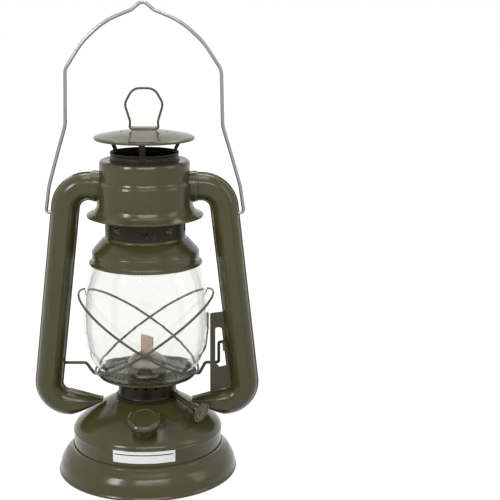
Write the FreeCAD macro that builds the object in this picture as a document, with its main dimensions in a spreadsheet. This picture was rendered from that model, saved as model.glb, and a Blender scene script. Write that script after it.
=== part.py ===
"""Hurricane lantern: a hot-blast oil lamp of pressed sheet and bent wire.

The frame stands on z = 0 with its axis on Z, its filler cap towards -Y and its
two air tubes towards -X and +X.
"""
import FreeCAD, Part
import Sketcher
import os
import re
from math import atan2, cos, degrees, radians, sin, sqrt, tan

Vector = FreeCAD.Vector
ORIGIN = Vector(0, 0, 0)
X_AXIS = Vector(1, 0, 0)
Y_AXIS = Vector(0, 1, 0)
Z_AXIS = Vector(0, 0, 1)

SIZES = [
    ("sheet_wall", 0.5, "pressed sheet"),
    ("seat_gap", 0.05, "play between soldered or pressed pieces"),
    ("rest_gap", 0.3, "play between pieces that only rest on each other"),
    ("pin_play", 0.08, "radial play of a wire or shaft in its hole"),
    ("base_radius", 72, "rim of the foot"),
    ("skirt_top", 23, "height of the seam between foot and tank"),
    ("rim_height", 2.4, "rolled rim of the foot"),
    ("tank_radius", 59.7, "tank wall"),
    ("tank_floor", 9, "height of the tank floor"),
    ("wall_top", 35, "where the tank wall turns into the dome"),
    ("shoulder_radius", 4.6, "turn at the top of the tank wall"),
    ("dome_top", 61, "flat round the burner opening"),
    ("dome_bulge", 130, "radius of the dome's arch"),
    ("collar_radius", 24.4, "burner collar"),
    ("collar_height", 2, "burner collar"),
    ("burner_hole", 17, "opening in the tank for the burner"),
    ("burner_radius", 23.7, "burner base"),
    ("burner_top", 79, "top of the burner base"),
    ("drum_radius", 15, "air drum under the cone"),
    ("drum_height", 9, "air drum"),
    ("cone_height", 8.6, "burner cone"),
    ("slot_length", 15.5, "flame slot"),
    ("slot_width", 4, "flame slot"),
    ("gallery_radius", 39.7, "plate that carries the globe"),
    ("gallery_lip", 3.2, "upturned rim of the gallery"),
    ("globe_foot", 36.6, "globe's lower opening, outside"),
    ("globe_belly", 50, "globe at its widest"),
    ("globe_head", 40.4, "globe's upper opening, outside"),
    ("glass_wall", 1.6, "globe glass"),
    ("globe_height", 96.6, "globe"),
    ("guard_wire", 2, "globe guard wire"),
    ("guard_high", 146.5, "highest point of a guard loop"),
    ("bell_rim", 44.7, "hood over the globe, at its rim"),
    ("bell_band", 42.4, "band of the hood"),
    ("bell_low", 171.5, "rim height of the hood"),
    ("neck_radius", 31.4, "pierced neck of the hood"),
    ("neck_top", 215, "top of the neck, inside the canopy"),
    ("vent_radius", 3.4, "hole in the neck"),
    ("vent_height", 200.5, "hole in the neck"),
    ("brim_radius", 45.7, "brim of the canopy"),
    ("brim_low", 208.6, "brim height"),
    ("canopy_radius", 37.7, "lower wall of the canopy"),
    ("canopy_step", 236, "height of the step in the canopy"),
    ("canopy_upper", 35.3, "upper wall of the canopy"),
    ("canopy_top", 253, "top of the canopy"),
    ("chimney_radius", 26.8, "sliding chimney"),
    ("chimney_top", 259, "sliding chimney"),
    ("cap_radius", 39.1, "rain cap"),
    ("cap_edge", 269.4, "rain cap's edge height"),
    ("cap_rise_height", 6.2, "rain cap, from its edge to its centre"),
    ("saddle_half", 9.6, "half width of the ring's saddle"),
    ("ring_wire", 1.9, "lifting ring wire"),
    ("ring_pivot", 277, "height of the ring's pivot"),
    ("ring_loop", 13.2, "radius of the ring's loop"),
    ("ring_height", 32, "ring above its pivot"),
    ("bail_wire", 2.9, "carrying bail wire"),
    ("bail_pivot", 211, "height of the bail's pivot"),
    ("bail_top", 372, "height of the bail's peak"),
    ("tube_radius", 11.3, "air tube, outside"),
    ("tube_height", 232, "air tube's upper end, centre"),
    ("tube_turn", 44, "where the upper elbow starts"),
    ("elbow_radius", 18, "upper elbow, centre line"),
    ("tube_lean", 6.6, "lean of the tube's straight leg, in degrees"),
    ("foot_elbow", 16.5, "lower elbow, centre line"),
    ("foot_centre", 62, "centre of the lower elbow, from the axis"),
    ("foot_height", 55.5, "tube's lower end, centre"),
    ("crank_wire", 2.6, "globe lift wire"),
    ("crank_pivot_y", 8, "globe lift pivot, behind the tube centres"),
    ("crank_pivot_z", 85.6, "globe lift pivot"),
    ("crank_drop", 9.3, "globe lift: from its pivot down to the carrying bow"),
    ("bow_depth", 26.6, "carrying bow, behind the axis"),
    ("bracket_left", 50.6, "lift bracket's free edge"),
    ("bracket_sheet", 0.9, "lift bracket"),
    ("winder_turn", -40, "direction of the wick winder, in degrees"),
    ("winder_slope", 18, "winder shaft, downwards, in degrees"),
    ("knob_reach", 52, "winder knob, from the axis"),
    ("knob_height", 56.3, "winder knob, centre"),
    ("knob_radius", 8.5, "winder knob"),
    ("shaft_radius", 1.25, "winder shaft"),
    ("star_radius", 4.4, "star wheels"),
    ("wick_width", 12.5, "flat wick"),
    ("wick_thick", 2, "flat wick"),
    ("wick_top", 111, "top of the wick"),
    ("wick_low", 34, "bottom of the stiff part of the wick"),
    ("filler_tilt", 22, "filler cap, forwards, in degrees"),
    ("filler_y", -48, "middle of the cap's lower edge"),
    ("filler_z", 49.2, "middle of the cap's lower edge"),
    ("neck_bore", 6.4, "filler neck, inside"),
    ("cap_top_radius", 12.8, "filler cap, top"),
    ("cap_low_radius", 9.4, "filler cap, lower edge"),
    ("cap_depth", 13, "filler cap"),
    ("strip_angle", 48, "level strip on the tank, in degrees"),
    ("strip_low", 26.2, "level strip"),
    ("strip_height", 9.4, "level strip"),
]

doc = FreeCAD.newDocument("hurricane_lantern")
sheet = doc.addObject("Spreadsheet::Sheet", "Sizes")
for row, (alias, number, note) in enumerate(SIZES, 1):
    sheet.set("A%d" % row, alias)
    sheet.set("B%d" % row, str(number))
    sheet.setAlias("B%d" % row, alias)
    sheet.set("C%d" % row, note)
doc.recompute()

NODES = []


def bound(expression):
    """An expression with each name read from the sheet."""
    return re.sub(r"[a-z]\w*", lambda found: "Sizes." + found.group(), str(expression))


def value(expression):
    """The number that an expression gives now."""
    return float(sheet.evalExpression(bound(expression)))


def keep(thing, label):
    """Names a finished piece and lists it for writing."""
    thing.Label = label
    NODES.append(thing)
    return thing


def origin_plane(body, role):
    return [plane for plane in body.Origin.OriginFeatures if plane.Role == role][0]


def draw(body, name, role, corners):
    """Draws a closed outline on one of a body's own planes.

    A corner is (across, up), or (across, up, bulge) where an arc of radius bulge leads
    on to the next corner: a positive bulge turns anticlockwise along the outline.
    """
    sketch = body.newObject("Sketcher::SketchObject", name)
    sketch.AttachmentSupport = [(origin_plane(body, role), "")]
    sketch.MapMode = "FlatFace"
    spots = [Vector(value(corner[0]), value(corner[1]), 0) for corner in corners]
    for index, corner in enumerate(corners):
        start = spots[index]
        end = spots[(index + 1) % len(spots)]
        if len(corner) == 2:
            sketch.addGeometry(Part.LineSegment(start, end))
            first = 1
        else:
            sketch.addGeometry(arc_between(start, end, value(corner[2])))
            first = 1 if value(corner[2]) > 0 else 2
            radius = sketch.addConstraint(Sketcher.Constraint("Radius", index, abs(value(corner[2]))))
            sign = "" if value(corner[2]) > 0 else "-1 * "
            sketch.setExpression("Constraints[%d]" % radius, sign + "(%s)" % bound(corner[2]))
        for kind, amount in (("DistanceX", corner[0]), ("DistanceY", corner[1])):
            place = sketch.addConstraint(Sketcher.Constraint(kind, index, first, value(amount)))
            sketch.setExpression("Constraints[%d]" % place, bound(amount))
    for index, corner in enumerate(corners):
        following = (index + 1) % len(corners)
        end = 1 if len(corner) == 3 and value(corner[2]) < 0 else 2
        after = corners[following]
        start = 2 if len(after) == 3 and value(after[2]) < 0 else 1
        sketch.addConstraint(Sketcher.Constraint("Coincident", index, end, following, start))
    return sketch


def arc_between(start, end, bulge):
    """The shorter arc of radius |bulge| from start to end; bulge > 0 turns anticlockwise."""
    chord = end - start
    height = sqrt(max(bulge * bulge - chord.Length ** 2 / 4, 0))
    side = Vector(-chord.y, chord.x, 0).normalize()
    centre = (start + end) * 0.5 + side * (height if bulge > 0 else -height)
    if bulge < 0:
        start, end = end, start
    turn_start = atan2(start.y - centre.y, start.x - centre.x)
    turn_end = atan2(end.y - centre.y, end.x - centre.x)
    return Part.ArcOfCircle(Part.Circle(centre, Z_AXIS, abs(bulge)), turn_start, turn_end)


def turned(label, corners, angle=360):
    """A body turned about Z from an outline of (radius, height) corners."""
    body = doc.addObject("PartDesign::Body", label)
    sketch = draw(body, label + "_outline", "XZ_Plane", corners)
    turn = body.newObject("PartDesign::Revolution", label + "_turn")
    turn.Profile = sketch
    turn.ReferenceAxis = (sketch, ["V_Axis"])
    turn.Angle = angle
    doc.recompute()
    return keep(body, label)


def pierced(body, name, radius, height, placement):
    """Cuts a round hole from a body and checks that it cut."""
    before = body.Shape.Volume
    hole = body.newObject("PartDesign::SubtractiveCylinder", name)
    hole.setExpression("Radius", bound(radius))
    hole.setExpression("Height", bound(height))
    hole.Placement = placement
    doc.recompute()
    if not body.Shape.Volume < before:
        raise RuntimeError(name + " cut nothing")
    return hole


def slotted(body, name, length, width, height, placement):
    """Cuts a box from a body and checks that it cut."""
    before = body.Shape.Volume
    box = body.newObject("PartDesign::SubtractiveBox", name)
    box.setExpression("Length", bound(length))
    box.setExpression("Width", bound(width))
    box.setExpression("Height", bound(height))
    box.Placement = placement
    doc.recompute()
    if not body.Shape.Volume < before:
        raise RuntimeError(name + " cut nothing")
    return box


def repeated(body, feature, count, name):
    """Repeats a cut around the body's Z axis."""
    pattern = body.newObject("PartDesign::PolarPattern", name)
    pattern.Originals = [feature]
    pattern.Axis = (origin_axis(body, "Z_Axis"), [""])
    pattern.Angle = 360
    pattern.Occurrences = count
    body.Tip = pattern
    doc.recompute()
    return pattern


def origin_axis(body, role):
    return [axis for axis in body.Origin.OriginFeatures if axis.Role == role][0]


def facing(place, direction):
    """A placement whose Z runs along direction."""
    return FreeCAD.Placement(place, FreeCAD.Rotation(Z_AXIS, direction))


def bent_path(points, radii):
    """Straight runs through the points, with an arc of each given radius at the inner ones."""
    edges = []
    last = points[0]
    for index in range(1, len(points) - 1):
        back = (points[index - 1] - points[index]).normalize()
        ahead = (points[index + 1] - points[index]).normalize()
        half = back.getAngle(ahead) / 2
        radius = radii[index - 1] if isinstance(radii, list) else radii
        set_back = radius / tan(half)
        begin = points[index] + back * set_back
        finish = points[index] + ahead * set_back
        middle = points[index] + (back + ahead).normalize() * (radius / sin(half) - radius)
        if (begin - last).Length > 1e-4:
            edges.append(Part.LineSegment(last, begin).toShape())
        edges.append(Part.Arc(begin, middle, finish).toShape())
        last = finish
    edges.append(Part.LineSegment(last, points[-1]).toShape())
    return Part.Wire(edges)


def swept(path, radius):
    """A round bar along a path."""
    first = path.OrderedEdges[0]
    start = first.valueAt(first.FirstParameter)
    heading = first.tangentAt(first.FirstParameter)
    ring = Part.Wire(Part.Circle(start, heading, radius).toShape())
    bar = path.makePipeShell([ring], True, False, 2)
    if bar.Volume < 0:
        bar.reverse()
    return bar


def piece(label, shape):
    """A piece that has no sketch of its own, such as bent wire."""
    feature = doc.addObject("Part::Feature", label)
    feature.Shape = shape
    return keep(feature, label)


def mirrored(shape):
    return shape.mirror(ORIGIN, X_AXIS)


# ---- foot and tank ----
inner_tank = "tank_radius - sheet_wall"
tank_shell = turned("tank_shell", [
    ("tank_radius", "tank_floor - 1"),
    ("tank_radius", "wall_top", "shoulder_radius"),
    ("tank_radius - 2.2", "wall_top + 4.1", "dome_bulge"),
    ("collar_radius", "dome_top"),
    ("burner_hole", "dome_top"),
    ("burner_hole", "dome_top - sheet_wall"),
    ("collar_radius - 0.1", "dome_top - sheet_wall", "-1 * dome_bulge"),
    ("tank_radius - 2.55", "wall_top + 3.6", "-1 * shoulder_radius"),
    (inner_tank, "wall_top - 0.4"),
    (inner_tank, "tank_floor - 1"),
])
filler_tilt = radians(value("filler_tilt"))
filler_axis = Vector(0, -sin(filler_tilt), cos(filler_tilt))
filler_seat = Vector(0, value("filler_y"), value("filler_z"))
pierced(tank_shell, "filler_hole", "neck_bore + sheet_wall + seat_gap", "24",
        facing(filler_seat - filler_axis * 14, filler_axis))

turned("tank_bottom", [
    ("0", "tank_floor + 2"),
    ("tank_radius - sheet_wall - seat_gap - 6", "tank_floor + 2"),
    ("tank_radius - sheet_wall - seat_gap - 4", "tank_floor - 1"),
    ("tank_radius - sheet_wall - seat_gap", "tank_floor - 1"),
    ("tank_radius - sheet_wall - seat_gap", "tank_floor - 0.4"),
    ("tank_radius - sheet_wall - seat_gap - 3.6", "tank_floor - 0.4"),
    ("tank_radius - sheet_wall - seat_gap - 5.6", "tank_floor + 2.6"),
    ("0", "tank_floor + 2.6"),
])
turned("base_skirt", [
    ("tank_radius + seat_gap", "skirt_top"),
    ("tank_radius + seat_gap", "skirt_top - 2.2", "14"),
    ("base_radius - 6.6", "skirt_top - 8.4", "-24"),
    ("base_radius - 1.7", "rim_height"),
    ("base_radius - 1.7", "0"),
    ("base_radius", "0"),
    ("base_radius", "rim_height", "24.6"),
    ("base_radius - 6.1", "skirt_top - 7.9", "-13.4"),
    ("tank_radius + seat_gap + 0.6", "skirt_top - 1.6"),
    ("tank_radius + seat_gap + 0.6", "skirt_top"),
])
strip = turned("level_strip", [
    ("tank_radius + seat_gap", "strip_low"),
    ("tank_radius + seat_gap + 0.25", "strip_low"),
    ("tank_radius + seat_gap + 0.25", "strip_low + strip_height"),
    ("tank_radius + seat_gap", "strip_low + strip_height"),
], value("strip_angle"))
strip.Placement = FreeCAD.Placement(
    ORIGIN, FreeCAD.Rotation(Z_AXIS, -90 - value("strip_angle") / 2))

# ---- filler neck, gasket and cap, drawn upright and tilted into place ----
filler_place = FreeCAD.Placement(filler_seat, FreeCAD.Rotation(X_AXIS, value("filler_tilt")))
neck = turned("filler_neck", [
    ("neck_bore", "-8"),
    ("neck_bore + sheet_wall", "-8"),
    ("neck_bore + sheet_wall", "cap_depth - 4"),
    ("neck_bore", "cap_depth - 4"),
])
neck.Placement = filler_place
gasket = turned("filler_gasket", [
    ("neck_bore - 1", "cap_depth - 3.8"),
    ("cap_low_radius - 1.1", "cap_depth - 3.8"),
    ("cap_low_radius - 1.1", "cap_depth - 2"),
    ("neck_bore - 1", "cap_depth - 2"),
])
gasket.Placement = filler_place
cap = turned("filler_cap", [
    ("0", "cap_depth - 1.9"),
    ("cap_low_radius - 1", "cap_depth - 1.9"),
    ("cap_low_radius - 1.2", "rest_gap + 0.5"),
    ("cap_low_radius", "rest_gap + 0.5"),
    ("cap_low_radius + 0.7", "cap_depth - 5"),
    ("cap_top_radius", "cap_depth - 3.6"),
    ("cap_top_radius", "cap_depth - 1.2", "2"),
    ("cap_top_radius - 1.4", "cap_depth"),
    ("cap_top_radius - 3", "cap_depth + 0.5"),
    ("0", "cap_depth + 0.5"),
])
cap.Placement = filler_place

# ---- burner ----
turned("burner_collar", [
    ("burner_hole + 1", "dome_top + seat_gap"),
    ("collar_radius", "dome_top + seat_gap"),
    ("collar_radius + 0.8", "dome_top + 0.7"),
    ("collar_radius + 0.8", "dome_top + collar_height - 0.7"),
    ("collar_radius", "dome_top + collar_height"),
    ("burner_radius + seat_gap", "dome_top + collar_height"),
    ("burner_radius + seat_gap", "dome_top + 1"),
    ("burner_hole + 1", "dome_top + 1"),
])
burner = turned("burner_base", [
    ("0", "dome_top + 1.1"),
    ("burner_radius", "dome_top + 1.1"),
    ("burner_radius", "burner_top"),
    ("drum_radius - 4", "burner_top"),
    ("drum_radius - 4", "burner_top - 0.6"),
    ("burner_radius - 0.6", "burner_top - 0.6"),
    ("burner_radius - 0.6", "dome_top + 1.7"),
    ("0", "dome_top + 1.7"),
])
turned("burner_drum", [
    ("drum_radius - 0.6", "burner_top + seat_gap"),
    ("drum_radius", "burner_top + seat_gap"),
    ("drum_radius", "burner_top + drum_height"),
    ("drum_radius - 0.6", "burner_top + drum_height"),
])
cone = turned("burner_cone", [
    ("drum_radius + 0.6", "burner_top + drum_height + seat_gap"),
    ("drum_radius + 0.6", "burner_top + drum_height + 1", "10.4"),
    ("drum_radius - 6", "burner_top + drum_height + cone_height - 0.8", "30"),
    ("0", "burner_top + drum_height + cone_height"),
    ("0", "burner_top + drum_height + cone_height - 0.5", "-30"),
    ("drum_radius - 6.2", "burner_top + drum_height + cone_height - 1.3", "-9.8"),
    ("drum_radius + 0.1", "burner_top + drum_height + 1"),
    ("drum_radius + 0.1", "burner_top + drum_height + 0.6"),
    ("drum_radius - 0.6", "burner_top + drum_height + 0.6"),
    ("drum_radius - 0.6", "burner_top + drum_height + seat_gap"),
])
winder_turn = FreeCAD.Rotation(Z_AXIS, value("winder_turn"))


def along_winder(across, aside, height):
    """A place given along the wick's width, across it, and up."""
    return winder_turn.multVec(Vector(across, aside, height))


slotted(cone, "flame_slot", "slot_length", "slot_width", "cone_height", FreeCAD.Placement(
    along_winder(-value("slot_length") / 2, -value("slot_width") / 2,
                 value("burner_top + drum_height + 2")), winder_turn))
air_hole = pierced(burner, "air_hole", "1.3", "3",
                   facing(Vector(0, -value("burner_radius") - 1, value("burner_top") - 3), Y_AXIS))
repeated(burner, air_hole, 18, "air_holes")

# ---- wick, its tube and its winder ----
star = value("star_radius")
wick_half = value("wick_thick") / 2
shaft_aside = wick_half + 0.12 + star
slope = radians(value("winder_slope"))
shaft_along = winder_turn.multVec(Vector(cos(slope), 0, -sin(slope)))
knob_centre = along_winder(value("knob_reach"), shaft_aside, value("knob_height"))
wall = 0.5
tube_play = 0.25
wick_tube_long = value("wick_width") / 2 + tube_play
wick_tube_deep = wick_half + tube_play
tube_low = value("dome_top") - 4
tube_top = value("burner_top") + value("drum_height") + 3


def upright_box(half_long, half_deep, low, top, aside=0.0):
    box = Part.makeBox(2 * half_long, 2 * half_deep, top - low, Vector(-half_long, aside - half_deep, low))
    box.rotate(ORIGIN, Z_AXIS, value("winder_turn"))
    return box


wick_tube = upright_box(wick_tube_long + wall, wick_tube_deep + wall, tube_low, tube_top)
wick_tube = wick_tube.cut(upright_box(wick_tube_long, wick_tube_deep, tube_low, tube_top))
window_z = knob_centre.z + (value("knob_reach")) * tan(slope)
window = upright_box(5.2, 1.4, window_z - 5.5, window_z + 5.5, wick_tube_deep + 0.6)
wick_tube = wick_tube.cut(window)
piece("wick_tube", wick_tube)
slotted(burner, "wick_opening", str(2 * (wick_tube_long + wall) + 0.1), str(2 * (wick_tube_deep + wall) + 0.1),
        "1.2", FreeCAD.Placement(along_winder(-wick_tube_long - wall - 0.05, -wick_tube_deep - wall - 0.05,
                                              value("dome_top") + 0.8), winder_turn))
piece("wick", upright_box(value("wick_width") / 2, wick_half, value("wick_low"), value("wick_top")))


def on_shaft(distance):
    """A point on the winder's axis, that far outward from the knob's middle."""
    return knob_centre + shaft_along * distance


def bar(radius, begin, finish):
    start = on_shaft(begin)
    return Part.makeCylinder(radius, finish - begin, start, shaft_along)


shaft_radius = value("shaft_radius")
inner_end = -value("knob_reach") / cos(slope) - 6
piece("winder_shaft", bar(shaft_radius, inner_end, -1.6))
wheels = []
for offset in (-2.6, 2.6):
    middle = -value("knob_reach") / cos(slope) + offset
    wheel = bar(star, middle - 0.5, middle + 0.5)
    wheel = wheel.cut(bar(shaft_radius + value("seat_gap"), middle - 1, middle + 1))
    for tooth in range(8):
        notch = Part.makeCylinder(0.9, 3, on_shaft(middle - 1.5), shaft_along)
        side_way = shaft_along.cross(Z_AXIS).normalize() * (star + 0.35)
        notch.translate(FreeCAD.Rotation(shaft_along, 45 * tooth).multVec(side_way))
        wheel = wheel.cut(notch)
    wheels.append(wheel)
piece("star_wheels", Part.makeCompound(wheels))
knob_radius = value("knob_radius")
knob = bar(knob_radius, -1.5, 1.2).cut(bar(knob_radius - 1.6, 0.6, 1.2))
knob = knob.fuse(bar(knob_radius - 4.2, 0.5, 1.6)).fuse(bar(2.4, -5, -1.4))
knob = knob.cut(bar(shaft_radius + value("seat_gap"), -6, -1.5))
piece("winder_knob", knob.removeSplitter())
bush_radius = 2.1
bush_start = -(value("knob_reach") - value("burner_radius") + 1.5) / cos(slope)
bush = bar(bush_radius, bush_start, -6).cut(bar(shaft_radius + value("pin_play"), bush_start, -6))
piece("winder_bush", bush)
pierced(burner, "bush_hole", "%s + seat_gap" % bush_radius, "14", facing(on_shaft(bush_start - 4), shaft_along))

# ---- globe, its gallery and its guard ----
gallery = turned("gallery", [
    ("drum_radius + 0.9", "burner_top + rest_gap"),
    ("gallery_radius", "burner_top + rest_gap + 0.4"),
    ("gallery_radius", "burner_top + gallery_lip"),
    ("gallery_radius - 0.8", "burner_top + gallery_lip"),
    ("gallery_radius - 0.8", "burner_top + rest_gap + 1.2"),
    ("drum_radius + 0.9", "burner_top + rest_gap + 0.8"),
])
for ring, (ring_radius, count) in enumerate(((22, 18), (27, 24), (32, 28))):
    hole = pierced(gallery, "draught_hole_%d" % ring, "1.2", "6", facing(
        Vector(ring_radius, 0, value("burner_top") - 2), Z_AXIS))
    repeated(gallery, hole, count, "draught_holes_%d" % ring)
globe_low = "burner_top + rest_gap + 1.5"
turned("globe", [
    ("globe_foot - glass_wall", globe_low),
    ("globe_foot", globe_low),
    ("globe_foot", globe_low + " + 2.4", "26.8"),
    ("globe_belly - 1.6", "burner_top + 23", "181"),
    ("globe_belly - 1.4", "burner_top + 71", "53.8"),
    ("globe_head + 1", globe_low + " + globe_height - 6.8", "-12"),
    ("globe_head", globe_low + " + globe_height"),
    ("globe_head - glass_wall", globe_low + " + globe_height", "13.6"),
    ("globe_head + 0.9 - glass_wall", globe_low + " + globe_height - 7.6", "-52.2"),
    ("globe_belly - 1.4 - glass_wall", "burner_top + 70.8", "-179.4"),
    ("globe_belly - 1.6 - glass_wall", "burner_top + 23.2", "-25.2"),
    ("globe_foot - glass_wall", globe_low + " + 3.2"),
])
guard = value("guard_wire") / 2
guard_foot = value("gallery_radius") + guard + value("seat_gap")


def guard_loop(side, spare):
    """A closed hoop that leans over the globe, low on one side and high on the other."""
    high = Vector(side * (value("globe_belly") + 3.2), 0, value("guard_high"))
    low = Vector(-side * (guard_foot + 0.3), 0, value("burner_top") + 4)
    middle = (high + low) * 0.5
    long_way = high - low
    half_long = long_way.Length / 2
    half_wide = value("globe_belly") + 3.5 + spare
    flat = Part.Ellipse(middle, max(half_long, half_wide), min(half_long, half_wide))
    path = Part.Wire(flat.toShape())
    path.translate(-middle)
    tilt = atan2(long_way.z, long_way.x)
    path.rotate(ORIGIN, Y_AXIS, -degrees(tilt))
    path.translate(middle)
    return path


piece("guard_wire_left", swept(guard_loop(-1, 0), guard))
piece("guard_wire_right", swept(guard_loop(1, 2 * guard + value("seat_gap")), guard))

# ---- hood: pierced bell, chimney, rain cap and ring ----
bell = turned("bell", [
    ("bell_rim - 0.5", "bell_low"),
    ("bell_rim", "bell_low"),
    ("bell_rim", "bell_low + 0.9"),
    ("bell_band", "bell_low + 3.4"),
    ("bell_band", "bell_low + 9", "3"),
    ("bell_band - 1.6", "bell_low + 11.2"),
    ("neck_radius + 2", "bell_low + 19", "-3"),
    ("neck_radius", "bell_low + 21.6"),
    ("neck_radius", "neck_top"),
    ("chimney_radius + seat_gap", "neck_top"),
    ("chimney_radius + seat_gap", "neck_top - 0.5"),
    ("neck_radius - 0.5", "neck_top - 0.5"),
    ("neck_radius - 0.5", "bell_low + 21.4", "3.4"),
    ("neck_radius + 1.6", "bell_low + 18.6"),
    ("bell_band - 2", "bell_low + 10.8", "-2.5"),
    ("bell_band - 0.5", "bell_low + 8.8"),
    ("bell_band - 0.5", "bell_low + 3.1"),
])
vent = pierced(bell, "vent", "vent_radius", "8",
               facing(Vector(0, -value("neck_radius") - 4, value("vent_height")), Y_AXIS))
repeated(bell, vent, 9, "vents")
turned("chimney", [
    ("chimney_radius - 0.5", "neck_top - 9"),
    ("chimney_radius", "neck_top - 9"),
    ("chimney_radius", "chimney_top"),
    ("chimney_radius - 0.5", "chimney_top"),
])
turned("rain_cap", [
    ("0", "cap_edge + cap_rise_height - 0.5"),
    ("4", "cap_edge + cap_rise_height - 0.5", "-160"),
    ("cap_radius - 2.2", "cap_edge + 1"),
    ("cap_radius - 0.5", "cap_edge"),
    ("cap_radius", "cap_edge + 0.2"),
    ("cap_radius - 1.6", "cap_edge + 1.7", "160"),
    ("4", "cap_edge + cap_rise_height"),
    ("0", "cap_edge + cap_rise_height"),
])
struts = []
strut_radius = value("chimney_radius")
for turn in (-90, 30, 150):
    low = value("canopy_top") + 0.8
    top = value("cap_edge") + 2.2
    foot = Part.makeBox(0.7, 6, value("cap_edge") - low + 1.2, Vector(strut_radius + value("seat_gap"), -3, low))
    foot = foot.fuse(Part.makeBox(5, 6, 0.6, Vector(strut_radius + value("seat_gap"), -3, top - 1.6)))
    foot.rotate(ORIGIN, Z_AXIS, turn)
    struts.append(foot.removeSplitter())
cap_solid = doc.getObject("rain_cap").Shape
struts = [strut.cut(cap_solid) for strut in struts]
piece("cap_struts", Part.makeCompound(struts))
saddle_half = value("saddle_half")
ring_wire = value("ring_wire") / 2
ring_pivot = value("ring_pivot")
saddle_low = value("cap_edge + cap_rise_height + seat_gap")
saddle = Part.makeBox(2 * saddle_half, 9, ring_pivot + 1.8 - saddle_low, Vector(-saddle_half, -4.5, saddle_low))
saddle = saddle.cut(Part.makeCylinder(ring_wire + value("pin_play"), 3 * saddle_half,
                                      Vector(-1.5 * saddle_half, 0, ring_pivot), X_AXIS))
piece("ring_saddle", saddle)

ring_top = ring_pivot + value("ring_height")
loop = value("ring_loop")
loop_centre = ring_top - loop - ring_wire
leg = saddle_half + ring_wire + 0.5
half_ring = [Vector(saddle_half - 3, 0, ring_pivot), Vector(leg, 0, ring_pivot)]
ring_points = half_ring + [
    Vector(leg - 0.4, 0, ring_pivot + 5.5),
    Vector(loop + 1.6, 0, loop_centre + 1),
    Vector(loop * 0.62, 0, loop_centre + loop * 0.98),
]
ring_points = ring_points + [Vector(-p.x, 0, p.z) for p in reversed(ring_points)]
ring_radii = [1.1, 7, 8, 9, 9, 8, 7, 1.1]
piece("lift_ring", swept(bent_path(ring_points, ring_radii), ring_wire))

# ---- canopy, with its two openings for the air tubes ----
canopy = turned("canopy", [
    ("brim_radius - 0.4", "brim_low"),
    ("brim_radius", "brim_low + 0.5"),
    ("brim_radius - 0.6", "brim_low + 1.5", "-7"),
    ("canopy_radius", "brim_low + 7.6"),
    ("canopy_radius", "canopy_step - 1.4", "1.6"),
    ("canopy_radius - 1", "canopy_step + 0.2"),
    ("canopy_upper", "canopy_step + 1.2"),
    ("canopy_upper", "canopy_top - 3", "3"),
    ("canopy_upper - 3", "canopy_top"),
    ("chimney_radius + 0.3", "canopy_top"),
    ("chimney_radius + 0.3", "canopy_top - 0.5"),
    ("canopy_upper - 2.9", "canopy_top - 0.5", "-2.4"),
    ("canopy_upper - 0.5", "canopy_top - 3"),
    ("canopy_upper - 0.5", "canopy_step + 0.9"),
    ("canopy_radius - 1.2", "canopy_step - 0.2", "-1"),
    ("canopy_radius - 0.5", "canopy_step - 1.4"),
    ("canopy_radius - 0.5", "brim_low + 7.6", "7.5"),
    ("brim_radius - 0.9", "brim_low + 1.1"),
])
tube_radius = value("tube_radius")
tube_height = value("tube_height")
tube_start = value("canopy_radius") + 0.3
for side, name in ((-1, "left_mouth"), (1, "right_mouth")):
    pierced(canopy, name, "tube_radius - sheet_wall - 0.3", "12",
            facing(Vector(side * 30, 0, tube_height), X_AXIS * side))

# ---- air tubes: two pressed halves each, joined along their seams ----
lean = radians(value("tube_lean"))
turn_x = value("tube_turn")
foot_x = value("foot_centre")
foot_z = value("foot_height")
elbow = value("elbow_radius")
foot_elbow = value("foot_elbow")
down = Vector(sin(lean), 0, -cos(lean))
out = Vector(cos(lean), 0, sin(lean))
upper_centre = Vector(turn_x, 0, tube_height - elbow)
upper_end = upper_centre + out * elbow
lower_centre = Vector(foot_x, 0, foot_z + foot_elbow)
lower_end = lower_centre + out * foot_elbow


def arc_edge(centre, radius, start, finish):
    """An arc in the tube's plane, from one point to another, bulging away from the axis."""
    chord = ((start - centre).normalize() + (finish - centre).normalize()).normalize()
    return Part.Arc(start, centre + chord * radius, finish).toShape()


def tube_path(begin):
    start = Vector(begin, 0, tube_height)
    first_turn = Vector(turn_x, 0, tube_height)
    last_turn = Vector(foot_x, 0, foot_z)
    return Part.Wire([
        Part.LineSegment(start, first_turn).toShape(),
        arc_edge(upper_centre, elbow, first_turn, upper_end),
        Part.LineSegment(upper_end, lower_end).toShape(),
        arc_edge(lower_centre, foot_elbow, lower_end, last_turn),
    ])


lower_tangent = (lower_end - upper_end).normalize()


def foot_loft(trim):
    """The tube's end, drawn out into a flat tongue that lies on the dome."""
    rings = []
    for along, high, deep, centre_z in ((0, 1, 1, 0), (9, 0.86, 1.02, -0.8), (27, 0.30, 0.62, 2.4)):
        x = foot_x - along
        tall = tube_radius * high - trim
        wide = tube_radius * deep - trim
        centre = Vector(x, 0, foot_z + centre_z)
        if abs(tall - wide) < 1e-6:
            rings.append(Part.Wire(Part.Circle(centre, X_AXIS, tall).toShape()))
        else:
            major = Part.Ellipse(centre + Y_AXIS * wide, centre + Z_AXIS * tall, centre)
            rings.append(Part.Wire(major.toShape()))
    return Part.makeLoft(rings, True, False)


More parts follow.
